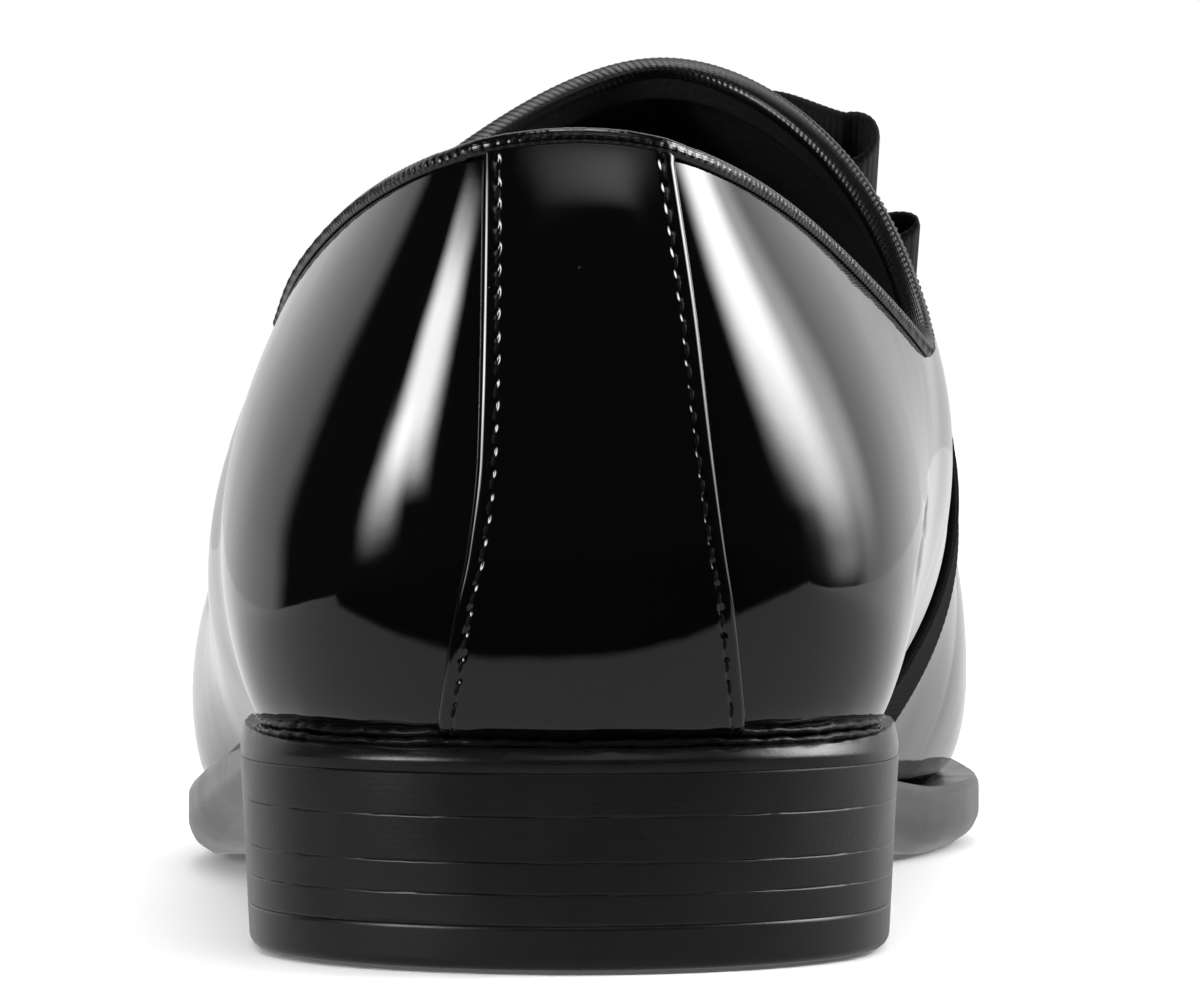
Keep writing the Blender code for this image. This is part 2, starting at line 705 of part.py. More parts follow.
def build_bow_knot(look):
    """Narrow ribbon ring round the middle of both pairs of loops."""
    seat, sideways, forward, lifted = bow_frame()
    middle = 0.5 * (KNOT_LOW + KNOT_HIGH)
    half = 0.5 * (KNOT_HIGH - KNOT_LOW)
    ring = []
    for angle in np.linspace(0.0, 2.0 * math.pi, 24, endpoint=False):
        y = math.copysign(abs(math.cos(angle)) ** 0.5, math.cos(angle))
        z = math.copysign(abs(math.sin(angle)) ** 0.5, math.sin(angle))
        ring.append((y, z))
    ring = np.array(ring)
    points = []
    for shrink in (0.0, RIBBON):
        for share in (-1.0, 0.0, 1.0):
            puff = 0.0 if share else 0.4
            spots = seat + share * KNOT_HALF * sideways
            spots = spots + np.outer(ring[:, 0] * (KNOT_WIDE + puff - shrink), forward)
            points.append(spots + np.outer(middle + ring[:, 1] * (half - shrink), lifted))
    points = np.concatenate(points)
    return solid("bow_knot", points, ring_faces((0, 1, 2, 5, 4, 3), len(ring)), look)


def seat_on_origin(pieces):
    """Hang every piece on one empty, with the shoe's lowest middle at the origin."""
    corners = np.array([tuple(spot.co) for piece in pieces for spot in piece.data.vertices])
    low, high = corners.min(axis=0), corners.max(axis=0)
    root = bpy.data.objects.new("slipper", None)
    bpy.context.collection.objects.link(root)
    for piece in pieces:
        piece.parent = root
    root.location = (-(low[0] + high[0]) / 2.0, -(low[1] + high[1]) / 2.0, -low[2])


def main():
    clear()
    patent = material("patent_leather", (0.006, 0.006, 0.007), 0.08)
    strip = material("strip_leather", (0.006, 0.006, 0.007), 0.08)
    rubber = material("sole_rubber", (0.012, 0.012, 0.012), 0.45)
    stack = material("heel_rubber", (0.014, 0.014, 0.014), 0.42)
    cap = material("top_piece_rubber", (0.012, 0.012, 0.012), 0.5)
    footbed = material("insole_leather", (0.03, 0.028, 0.026), 0.6)
    binding = material("binding_ribbon", (0.03, 0.03, 0.032), 0.55)
    band = material("band_ribbon", (0.01, 0.01, 0.011), 0.7)
    lower = material("lower_bow_ribbon", (0.012, 0.012, 0.013), 0.7)
    upper = material("upper_bow_ribbon", (0.012, 0.012, 0.013), 0.7)
    knot = material("knot_ribbon", (0.012, 0.012, 0.013), 0.7)
    seat_on_origin([
        build_outsole(rubber),
        build_heel_block(stack),
        build_heel_top_piece(cap),
        build_insole(footbed),
        build_upper(patent),
        build_back_strip(strip),
        build_topline_binding(binding),
        build_vamp_band(band),
        build_loops("bow_lower", LOWER_LOOPS, lower),
        build_loops("bow_upper", UPPER_LOOPS, upper),
        build_bow_knot(knot),
    ])


main()
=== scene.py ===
"""Looks of the left smoking slipper: patent leather, ribbed ribbon, satin rubber, soft studio light."""

from functools import partial
import math

import bmesh
import bpy
import numpy as np
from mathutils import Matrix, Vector


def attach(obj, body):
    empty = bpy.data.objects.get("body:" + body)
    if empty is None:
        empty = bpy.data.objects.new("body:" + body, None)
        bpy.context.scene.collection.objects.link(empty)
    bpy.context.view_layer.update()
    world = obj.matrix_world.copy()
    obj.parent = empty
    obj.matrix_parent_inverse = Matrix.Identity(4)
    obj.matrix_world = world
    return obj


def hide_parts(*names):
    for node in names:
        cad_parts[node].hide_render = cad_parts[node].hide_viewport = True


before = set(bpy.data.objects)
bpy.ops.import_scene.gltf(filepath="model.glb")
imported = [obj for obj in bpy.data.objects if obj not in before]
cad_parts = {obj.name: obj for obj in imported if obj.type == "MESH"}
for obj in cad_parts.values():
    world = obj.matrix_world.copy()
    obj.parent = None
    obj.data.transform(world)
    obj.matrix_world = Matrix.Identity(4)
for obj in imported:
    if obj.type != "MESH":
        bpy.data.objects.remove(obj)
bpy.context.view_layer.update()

MM = 0.001
UP = np.array((0.0, 0.0, 1.0))

# From the tables' frame, in millimetres from the heel's back, to the row's frame
SEAT = np.array((-1.097, -148.117, 0.0))

# Step for slopes that are taken by difference, and the rises between which they are taken
NUDGE = 0.002
SLOPE_RANGE = (0.004, 0.985)

# Seating gaps and thicknesses, in millimetres like every size below, and the footbed's rounded edge
GAP = 0.3
WALL = 2.0
RIM_WALL = 1.4
RIM_FROM = 0.86
RIBBON = 0.9
INSOLE = 2.5
INSOLE_EDGE = ((1.1, 0.0), (0.5, 0.25), (0.15, 0.7), (0.0, 1.3), (0.0, INSOLE))

# Ribs of the upper from heel to toe tip, as in the solids: each row ends with its outward aim in degrees
TOE = 15
RIB_COLUMNS = ("foot_x", "foot_y", "welt", "low_out", "low_up", "high_out", "high_drop", "side", "front")
LATERAL_RIBS = (
    (0.0, 2.0, 2.0, 5.0, 0.30, 5.6, 0.30, -90.0),
    (-16.3, 6.4, 2.0, 5.5, 0.31, 6.5, 0.31, -60.0),
    (-28.4, 18.5, 2.1, 7.0, 0.33, 8.5, 0.33, -30.0),
    (-32.9, 36.0, 2.1, 8.0, 0.34, 10.0, 0.34, -6.0),
    (-33.7, 58.0, 2.1, 8.3, 0.34, 8.7, 0.34, 0.0),
    (-34.6, 80.0, 2.3, 9.0, 0.33, 7.4, 0.33, 0.0),
    (-36.8, 101.0, 2.5, 10.5, 0.33, 8.5, 0.33, 0.0),
    (-40.6, 122.0, 2.6, 9.0, 0.34, 6.8, 0.32, 0.0),
    (-45.2, 145.0, 2.4, 8.6, 0.36, 9.1, 0.24, 0.0),
    (-47.2, 168.0, 2.2, 12.8, 0.40, 10.2, 0.02, 0.0),
    (-45.2, 192.0, 2.6, 12.7, 0.42, 15.0, 0.0, 0.0),
    (-40.2, 217.0, 3.0, 10.9, 0.46, 19.0, 0.0, 0.0),
    (-31.8, 243.0, 3.4, 7.5, 0.50, 21.0, 0.0, 4.0),
    (-21.5, 265.0, 3.5, 5.0, 0.53, 19.0, 0.0, 25.0),
    (-10.0, 283.0, 3.5, 4.0, 0.54, 16.0, 0.0, 55.0),
    (5.0, 294.0, 3.5, 3.5, 0.55, 15.0, 0.0, 90.0),
)
MEDIAL_RIBS = (
    LATERAL_RIBS[0],
    (16.3, 6.4, 2.0, 5.5, 0.31, 6.5, 0.31, -60.0),
    (28.3, 18.5, 2.0, 7.0, 0.33, 8.5, 0.33, -30.0),
    (32.4, 35.5, 2.0, 7.5, 0.34, 9.5, 0.34, -6.0),
    (32.5, 57.0, 2.0, 8.3, 0.34, 6.4, 0.34, 0.0),
    (30.6, 79.0, 2.2, 9.7, 0.33, 3.6, 0.33, 0.0),
    (28.8, 101.0, 2.5, 12.6, 0.33, 3.6, 0.33, 0.0),
    (29.6, 122.0, 2.8, 15.5, 0.34, 8.3, 0.32, 0.0),
    (34.0, 144.0, 3.2, 18.4, 0.36, 13.3, 0.24, 0.0),
    (40.6, 168.0, 3.9, 22.5, 0.40, 8.3, 0.02, 0.0),
    (46.2, 192.0, 4.3, 14.5, 0.42, 10.9, 0.0, 0.0),
    (46.8, 216.0, 4.2, 10.8, 0.46, 15.7, 0.0, 0.0),
    (41.4, 241.0, 3.6, 7.0, 0.50, 21.0, 0.0, 4.0),
    (32.0, 263.5, 3.5, 5.0, 0.53, 20.0, 0.0, 25.0),
    (20.5, 282.0, 3.5, 4.0, 0.54, 16.0, 0.0, 55.0),
    LATERAL_RIBS[TOE],
)

# Collar edge, a row (x, y, z) per rib from the heel's back to the throat
THROAT = 9
LATERAL_RIM = (
    (0.5, 7.0, 83.9),
    (-11.3, 9.8, 82.2),
    (-19.6, 22.5, 79.0),
    (-25.2, 38.5, 75.4),
    (-29.8, 57.0, 71.0),
    (-32.4, 75.0, 67.2),
    (-33.3, 89.5, 66.6),
    (-29.0, 102.4, 73.2),
    (-14.4, 114.8, 86.3),
    (8.9, 124.0, 97.3),
)
MEDIAL_RIM = (
    LATERAL_RIM[0],
    (11.4, 9.8, 82.4),
    (19.6, 22.5, 79.0),
    (26.2, 38.5, 74.6),
    (33.0, 56.0, 68.8),
    (37.8, 74.0, 64.4),
    (39.7, 88.0, 63.6),
    (38.3, 98.5, 71.0),
    (29.5, 113.0, 87.2),
    LATERAL_RIM[THROAT],
)

# Ridge line of the vamp from the throat to the pole of the toe cap
RIDGE = (
    ("along", "side", "height"),
    (124.0, 8.9, 97.3),
    (150.0, 9.8, 83.6),
    (175.0, 10.2, 70.2),
    (200.0, 9.8, 58.4),
    (225.0, 8.7, 49.2),
    (246.0, 7.3, 43.0),
    (262.0, 6.2, 39.0),
)
POLE_RIB = 13.0
POLE_EASE = 1.35
POLE_SLOPE = (RIDGE[-1][2] - RIDGE[-2][2]) / (RIDGE[-1][0] - RIDGE[-2][0])

# Grid of the upper, finest at the creases, the throat and the tuck: start, stop and step or count
UPPER_STEPS = ((0.0, 2.9, 0.08), (2.9, 4.5, 0.03), (4.5, 8.0, 0.08), (8.0, 10.0, 0.04), (10.0, TOE, 0.08))
UPPER_LEVELS = ((0.0, 0.06, 12), (0.08, 0.26, 11), (0.27, 0.56, 34), (0.58, 1.0, 25))

# Underside height and edge thickness of the outsole along the shoe
SOLE = (
    ("along", "under", "thick"),
    (0.0, 19.9, 2.6),
    (60.0, 19.9, 2.6),
    (76.0, 17.0, 3.5),
    (100.0, 12.2, 5.2),
    (120.0, 8.4, 6.7),
    (150.0, 2.6, 7.9),
    (173.0, 0.0, 8.6),
    (206.0, 0.0, 8.4),
    (227.0, 1.4, 7.9),
    (250.0, 4.6, 7.5),
    (275.0, 8.2, 7.1),
    (298.0, 11.6, 6.8),
)

# Rounded side of the outsole: how far in from the lip, and how far down its thickness
SOLE_EDGE = (
    ("inset", "depth"),
    (0.7, 0.0),
    (0.0, 0.16),
    (0.0, 0.52),
    (0.8, 0.80),
    (3.0, 1.0),
)
SOLE_FACE_IN = 1.9

# Rim of the heel seat: its dip at the back and rise along the sides, its slant, and its rough trimming
SEAT_RIM = (
    ("along", "lift"),
    (0.0, -0.45),
    (10.0, -0.35),
    (36.0, 0.7),
    (62.0, 0.5),
    (95.0, 0.0),
)
SEAT_FADE = (95.0, 65.0)
SEAT_SLANT = 0.5
SEAT_DEEP = 0.5
TRIM_DEEP = 0.2
TRIM_OUT = 0.13
TRIM_UP = 0.09

# Heel: breast line, taper, broken lines round its side, joint above the top piece and its lower edge
HEEL_TOP = SOLE[1][1]
BREAST = 75.0
BREAST_HOLLOW = 3.0
HEEL_TAPER = 1.0
HEEL_LINES = (15.5, 10.9, 7.7)
LINE_WIDE = 0.24
LINE_DEEP = 0.13
LINE_BROKEN = 0.7
LINE_SECTION = ((1.0, 0.0), (0.6, 0.0), (0.3, 0.4), (0.0, 1.0), (-0.3, 0.4), (-0.6, 0.0), (-1.0, 0.0))
TOP_PIECE = 4.5
JOINT = ((0.03, 0.12), (0.2, 0.0), (0.45, 0.0))
TIP_ROUND = 1.0
TIP_EDGE = 1.3

# Back strip edges at heights above the floor, its thickness and puff, and the stitches inside each edge
STRIP = (
    ("height", "lateral", "medial"),
    (23.0, -13.5, 18.0),
    (36.7, -11.3, 16.6),
    (42.0, -10.2, 15.8),
    (52.0, -9.1, 14.5),
    (67.0, -8.8, 12.8),
    (82.0, -8.7, 10.6),
)
STRIP_TOP = 0.985
STRIP_THICK = 0.85
STRIP_PUFF = 0.55
UNDERLAP = 0.05
CHANNEL_WIDE = 0.27
STITCH_IN = 1.85
STITCH_PITCH = 2.3
STITCH_LONG = 1.75
STITCH_RINGS = 9
STITCH_LEAN = 0.12
STITCH_UP = 0.42
STITCH_BOW = 0.30
THREAD = 0.26

# Creases of the quarters: both ends on the surface, depth and width
CREASES = (
    ("place", "rise", "place_end", "rise_end", "depth", "width"),
    (4.35, 0.53, 3.75, 0.44, 1.25, 1.25),
    (3.85, 0.46, 3.00, 0.29, 0.34, 1.4),
    (27.2, 0.36, 28.2, 0.27, 0.10, 4.0),
    (2.05, 0.36, 1.35, 0.30, 0.10, 4.0),
)

# Tuck of the upper above the sole: its depth and height along the shoe, and its unevenness at the heel
TUCK = (
    ("along", "deep", "high"),
    (0.0, 1.2, 1.25),
    (14.0, 1.15, 1.75),
    (38.0, 0.2, 1.6),
    (60.0, 0.3, 1.3),
    (110.0, 0.55, 1.1),
    (298.0, 0.55, 1.1),
)
TUCK_UNEVEN = 0.3
TUCK_FADE = (45.0, 20.0)

# Beads of cement at the heel seat: out from the feather line, share of the tuck followed, height, radius
CEMENT = (
    ("out", "follow", "up", "thick", "seed"),
    (0.30, 0.0, 0.25, 0.42, 1.3),
    (0.28, 0.65, 1.15, 0.50, 5.9),
)
CEMENT_END = 3.3

# Ribbons: pitch and height of their ribs, and the band's edges from the sole to the ridge
RIB_PITCH = 0.85
RIB_HIGH = 0.07
BAND = (
    ("rise", "medial_near", "medial_far", "lateral_near", "lateral_far"),
    (0.0, 121.0, 137.0, 188.0, 204.0),
    (0.15, 125.0, 141.0, 186.0, 202.0),
    (0.35, 130.0, 146.5, 178.0, 194.5),
    (1.0, 141.5, 158.5, 141.5, 158.5),
)
BAND_SEAT = 0.35
BAND_THICK = 0.95
BAND_UNDER = 0.05
BAND_WIDE = 16.5
BAND_RIM = np.array((0.0, 0.012, 0.03, 0.06))

# Binding section round the collar edge: out from the leather, and up past its edge
BINDING = (
    ("out", "up"),
    (0.04, -0.92),
    (0.36, -0.98),
    (0.66, -0.62),
    (0.74, -0.10),
    (0.64, 0.42),
    (0.22, 0.78),
    (-0.60, 0.88),
    (-1.58, 0.74),
    (-2.12, 0.16),
    (-2.45, -0.90),
    (-2.85, -2.20),
    (-3.05, -3.00),
    (-2.35, -3.05),
    (-1.80, -1.20),
    (-1.52, 0.00),
    (-0.60, 0.14),
    (0.02, 0.05),
)

# Rows of that section that are finely stepped, holed, raised, lined and ribbed
BIND_FINE = 8.0
BIND_HOLED = 5.0
BIND_RAISED = 5.5
BIND_LINED = (8.4, 12.0)
BIND_RIBBED = 12.5

# Ribs from the heel between which the binding turns plain, its needle holes, and its lift over the strip
BIND_PLAIN = (1.9, 1.1)
HOLE_PITCH = 1.05
HOLE_UP = -0.42
HOLE_DEEP = 0.2
OVER_STRIP = 0.4
OVER_FADE = (1.05, 0.8)

# Bow: seat on the ridge, tilt with the inner side up, half depths of its ribbons, and their gathers
BOW_Y = 150.0
BOW_TILT = 3.0
BOW_PINCH = 7.0
BOW_FLARE = 12.5
GATHER = 0.30
GATHER_REACH = 11.0
LOWER_LOOPS = (
    ("reach", "low", "high"),
    (-24.5, -4.0, -0.8),
    (-15.0, 0.0, 2.4),
    (-5.5, 3.4, 5.2),
    (5.5, 3.4, 5.2),
    (14.0, -2.0, 1.4),
    (26.5, -15.2, -11.8),
)
UPPER_LOOPS = (
    ("reach", "low", "high"),
    (-14.0, 4.0, 6.6),
    (-10.0, 5.6, 8.0),
    (-5.5, 6.8, 8.6),
    (5.5, 6.8, 8.6),
    (13.0, 5.0, 7.9),
    (22.5, -4.0, 2.6),
)
LOOP_END = 3.5
KNOT_HALF = 5.0
KNOT_WIDE = 12.0
KNOT_LOW = 1.6
KNOT_HIGH = 10.4
KNOT_PUFF = 0.3

# Blacks of the leather, the collar ribbon, the band and bow, the rubber, the lining and the footbed
PATENT_BLACK = (0.0012, 0.0012, 0.0014)
COLLAR_BLACK = (0.0012, 0.0012, 0.0013)
BOW_BLACK = (0.0030, 0.0030, 0.0032)
RUBBER_BLACK = (0.0018, 0.0018, 0.0018)
LINING_BLACK = (0.005, 0.005, 0.005)
FOOTBED_BLACK = (0.018, 0.017, 0.016)

# Camera: place in the tables' frame, where it looks, and its lens and picture width
EYE = np.array((7.55, -650.0, 57.0))
AIM = np.array((-0.00669, 1.0, -0.01492))
LENS = 195.0
PICTURE = 36.0
CLIP = (0.05, 40.0)

# Panels aimed at the heel, in metres: degrees from the camera, distance, height, size, brightness, soft rim
PANELS = (
    ("softbox_left", -56.5, 1.3, 0.48, 0.70, 0.70, 18.0, 0.40),
    ("card_left", -64.0, 1.3, 0.25, 0.50, 0.44, 8.0, 0.45),
    ("softbox_right", 95.0, 1.3, 0.75, 1.20, 1.20, 13.0, 0.42),
    ("card_right", 102.0, 1.3, 0.25, 0.60, 0.50, 2.5, 0.45),
    ("wall_right", 106.0, 1.5, 0.70, 1.60, 1.50, 2.5, 0.35),
    ("card_back", 14.0, 1.5, 1.60, 3.00, 1.30, 1.4, 0.50),
)

# Spot that those panels aim at, and the panel overhead: its place and size
HEEL_SPOT = (0.0, -0.13, 0.05)
TOP_SPOT = (0.0, 0.05, 1.5)
TOP_PANEL = (0.7, 0.9)

# Tent round the set, in metres: size, darkest and lightest, and where it turns from one to the other
TENT_SIZE = 6.0
TENT_DARK = 0.012
TENT_LIGHT = 0.75
TENT_EDGE = (0.345, 0.545)

# Floor as the gloss sees it, in metres: brightness, slanted black edge, outer side, far end and drop
FLOOR_GLOSS = (0.50, 0.90)
FLOOR_END = -0.262
FLOOR_BLUR = 0.01
FLOOR_SLANT = 0.09
FLOOR_TURN = -0.4
FLOOR_PALEST = 0.4
FLOOR_SIDE = -0.55
FLOOR_FAR = 8
FLOOR_DROP = 0.0002

# Broad fill light from above: brightness, and spread in degrees
FILL_POWER = 4.4
FILL_SPREAD = 100.0


def column(table, name):
    """One column of a table that has its column names in the first row."""
    return np.array([row[table[0].index(name)] for row in table[1:]], float)


def steady(xs, ys, at):
    """Smooth curve through a table that never overshoots between its rows."""
    at = np.clip(np.asarray(at, float), xs[0], xs[-1])
    step = np.diff(xs)
    slope = np.diff(ys) / step
    lean = np.zeros(len(xs))
    lean[0] = slope[0]
    lean[-1] = slope[-1]
    for i in range(1, len(xs) - 1):
        if slope[i - 1] * slope[i] > 0.0:
            one = 2.0 * step[i] + step[i - 1]
            two = step[i] + 2.0 * step[i - 1]
            lean[i] = (one + two) / (one / slope[i - 1] + two / slope[i])
    i = np.clip(np.searchsorted(xs, at, side="right") - 1, 0, len(xs) - 2)
    t = (at - xs[i]) / step[i]
    start = (1.0 + 2.0 * t) * (1.0 - t) ** 2 * ys[i] + t * (1.0 - t) ** 2 * step[i] * lean[i]
    end = t * t * (3.0 - 2.0 * t) * ys[i + 1] + t * t * (t - 1.0) * step[i] * lean[i + 1]
    return start + end


def read(table, name, at):
    """Smooth value of a table's column at places along its first column."""
    return steady(column(table, table[0][0]), column(table, name), at)


def ramp(value, start=0.0, stop=1.0):
    """Straight rise from 0 at the start to 1 at the stop, level outside them."""
    return np.clip((value - start) / (stop - start), 0.0, 1.0)


def soft(value, start=0.0, stop=1.0):
    """Smooth step from 0 at the start to 1 at the stop."""
    share = ramp(value, start, stop)
    return share * share * (3.0 - 2.0 * share)


def bell(value, width):
    """Soft bump that is 1 at zero and fades over a width."""
    return np.exp(-(value / width) ** 2)


def ragged(along, seed):
    """Repeatable rough line between -1 and 1 along a length."""
    waves = ((0.9, 1.0), (2.3, 0.7), (5.1, 0.5), (9.7, 0.35))
    total = sum(size for _, size in waves)
    return sum(size * np.sin(rate * along + seed * (3.1 + rate)) for rate, size in waves) / total


def points_of(*parts):
    """Points, or rows of numbers, from their parts."""
    return np.stack(np.broadcast_arrays(*parts), axis=-1)


def unit(vectors):
    """Vectors scaled to length one."""
    return vectors / np.linalg.norm(vectors, axis=-1, keepdims=True)


def right_of(ahead):
    """Unit heading to the right of flat headings."""
    return unit(points_of(ahead[..., 1], -ahead[..., 0]))


def run_along(points):
    """Length along a line of points, from zero at its start."""
    return np.concatenate(([0.0], np.cumsum(np.linalg.norm(np.diff(points, axis=0), axis=1))))


def bends(values):
    """Second differences of the smooth closed curve through evenly spaced values."""
    count = len(values)
    system = 4.0 * np.eye(count)
    system += np.roll(np.eye(count), 1, axis=0)
    system += np.roll(np.eye(count), -1, axis=0)
    turn = np.roll(values, 1, axis=0) - 2.0 * values + np.roll(values, -1, axis=0)
    return np.linalg.solve(system, 6.0 * turn)


def round_curve(ring, at):
    """Points of the smooth closed curve at places counted in rows."""
    values, second = ring
    at = np.mod(np.asarray(at, float), len(values))
    i = np.floor(at).astype(int) % len(values)
    j = (i + 1) % len(values)
    t = (at - np.floor(at))[..., None]
    r = 1.0 - t
    bend = (r ** 3 - r) * second[i] + (t ** 3 - t) * second[j]
    return r * values[i] + t * values[j] + bend / 6.0


def round_table(medial, lateral):
    """Both sides of a table joined into one closed curve: heel, inner side, front, outer side."""
    rows = np.array(list(medial) + list(lateral[-2:0:-1]), float)
    return rows, bends(rows)


def rib_table():
    """The rib tables with each aim turned into the side and front parts of a heading."""
    sides = []
    for rows, sign in ((MEDIAL_RIBS, 1.0), (LATERAL_RIBS, -1.0)):
        aims = [math.radians(row[-1]) for row in rows]
        sides.append([row[:-1] + (sign * math.cos(aim), math.sin(aim)) for row, aim in zip(rows, aims)])
    return round_table(*sides)


RIBS = rib_table()
RIM = round_table(MEDIAL_RIM, LATERAL_RIM)


def rib(place):
    """Named values of the ribs at places round the shoe."""
    return dict(zip(RIB_COLUMNS, np.moveaxis(round_curve(RIBS, place), -1, 0)))


def sole_under(along):
    """Height of the outsole's underside."""
    return read(SOLE, "under", along)


def sole_thick(along):
    """Thickness of the outsole at its edge."""
    return read(SOLE, "thick", along)


def sole_top(along):
    """Height of the outsole's upper face."""
    return sole_under(along) + sole_thick(along)


def ridge(along):
    """Ridge line of the vamp."""
    return points_of(read(RIDGE, "side", along), along, read(RIDGE, "height", along))


def rib_top(station, place):
    """Upper end of a rib: on the collar edge, then on the ridge, then at the toe's pole."""
    turn = np.minimum(station, THROAT)
    rim = round_curve(RIM, np.where(place <= TOE, turn, 2 * THROAT - turn))
    start, stop = column(RIDGE, "along")[[0, -1]]
    share = 1.0 - (1.0 - ramp(station, THROAT, POLE_RIB)) ** POLE_EASE
    return np.where((station <= THROAT)[..., None], rim, ridge(start + (stop - start) * share))


def surface(place, rise):
    """Smooth outside of the upper: place runs round the shoe from the heel, rise from sole to rim."""
    place = np.mod(np.asarray(place, float), 2 * TOE)
    place, rise = np.broadcast_arrays(place, np.asarray(rise, float))
    station = np.minimum(place, 2 * TOE - place)
    row = rib(place)
    foot = points_of(row["foot_x"], row["foot_y"], sole_top(row["foot_y"]) + GAP)
    top = rib_top(station, place)
    height = (top - foot)[..., 2]
    heading = unit(points_of(row["side"], row["front"], 0.0))
    falling = heading + UP * (POLE_SLOPE * heading[..., 1] * (station > THROAT))[..., None]
    low = foot + heading * row["low_out"][..., None] + UP * (row["low_up"] * height)[..., None]
    high = top + falling * row["high_out"][..., None] - UP * (row["high_drop"] * height)[..., None]
    t = rise[..., None]
    r = 1.0 - t
    return r ** 3 * foot + 3.0 * r * r * t * low + 3.0 * r * t * t * high + t ** 3 * top


def outward(place, rise):
    """Unit normal of the upper's outside."""
    place = np.asarray(place, float)
    rise = np.clip(np.asarray(rise, float), *SLOPE_RANGE)
    ahead = surface(place + NUDGE, rise) - surface(place - NUDGE, rise)
    above = surface(place, rise + NUDGE) - surface(place, rise - NUDGE)
    return unit(np.cross(ahead, above))


def crease_relief(points, place, rise, place_end, rise_end, depth, width):
    """How far one crease and its raised rims stand out at points of the upper."""
    share = np.linspace(0.0, 1.0, 40)
    line = surface(place + (place_end - place) * share, rise + (rise_end - rise) * share)
    gaps = np.linalg.norm(points[..., None, :] - line, axis=-1)
    fade = np.sin(math.pi * (0.06 + 0.88 * share))[gaps.argmin(axis=-1)]
    steep = (gaps.min(axis=-1) / width) ** 2
    return -depth * fade * (1.0 - 0.7 * steep) * np.exp(-steep)


def relief(points):
    """How far the leather stands out at points of the upper: creases listed one by one, and the tuck."""
    along = points[..., 1]
    above = np.maximum(points[..., 2] - sole_top(along) - GAP, 0.0)
    uneven = TUCK_UNEVEN * ragged(points[..., 0] * 0.22, 2.0) * soft(along, *TUCK_FADE)
    high = read(TUCK, "high", along) * (1.0 + uneven)
    tuck = read(TUCK, "deep", along) * np.exp(-(above / high) ** 1.5)
    return sum(crease_relief(points, *crease) for crease in CREASES[1:]) - tuck


def skin(place, rise):
    """Outside of the upper with its creases, and its normal."""
    base = surface(place, rise)
    normal = outward(place, rise)
    return base + normal * relief(base)[..., None], normal


def feather(place, out):
    """Plan outline that runs a distance outside the ribs' feet."""
    place = np.asarray(place, float)
    ahead = (round_curve(RIBS, place + NUDGE) - round_curve(RIBS, place - NUDGE))[..., :2]
    return round_curve(RIBS, place)[..., :2] + right_of(ahead) * np.asarray(out, float)[..., None]


def lip(place, inset):
    """Plan outline of the outsole, drawn in by an inset."""
    return feather(place, rib(place)["welt"] - inset)


def quads(rows, columns, wrap_rows=False, wrap_columns=False):
    """Faces of a grid of points, closed either way when wrapped."""
    row = np.arange(rows if wrap_rows else rows - 1)[:, None]
    spot = np.arange(columns if wrap_columns else columns - 1)
    here = row * columns
    ahead = (row + 1) % rows * columns
    beside = (spot + 1) % columns
    return points_of(here + spot, here + beside, ahead + beside, ahead + spot).reshape(-1, 4)


def joined(edge, size):
    """Faces between a closed line of points on one layer and the same line on the layer after it."""
    after = np.roll(edge, -1)
    return points_of(edge, after, after + size, edge + size)


def layered(*grids):
    """Points of several grids, one after another."""
    return np.concatenate([grid.reshape(-1, 3) for grid in grids])


def shell(top, bottom):
    """Points and faces of a closed sheet between two grids of the same size."""
    index = np.arange(top[..., 0].size).reshape(top.shape[:2])
    edge = np.concatenate((index[0], index[1:, -1], index[-1, -2::-1], index[-2:0:-1, 0]))
    face = quads(*index.shape)
    faces = np.concatenate((face, face[:, ::-1] + index.size, joined(edge, index.size)))
    return layered(top, bottom), faces


def tube(centre, radius, side, lifted, sides):
    """Points and faces of a closed tube round a line, between two headings."""
    angle = np.linspace(0.0, 2.0 * math.pi, sides, endpoint=False)[:, None]
    ring = np.cos(angle) * side[:, None] + np.sin(angle) * lifted[:, None]
    points = (centre[:, None] + radius[:, None, None] * ring).reshape(-1, 3)
    ends = [range(sides), range(len(points) - sides, len(points))]
    return points, [*quads(len(centre), sides, wrap_columns=True), *ends]


def gathered(shapes):
    """Points and faces of several shapes as one."""
    points = []
    faces = []
    start = 0
    for spots, sides in shapes:
        points.append(spots)
        faces += [[start + spot for spot in side] for side in sides]
        start += len(spots)
    return np.concatenate(points), faces


def linked(name, data):
    """New object in the scene."""
    made = bpy.data.objects.new(name, data)
    bpy.context.scene.collection.objects.link(made)
    return made


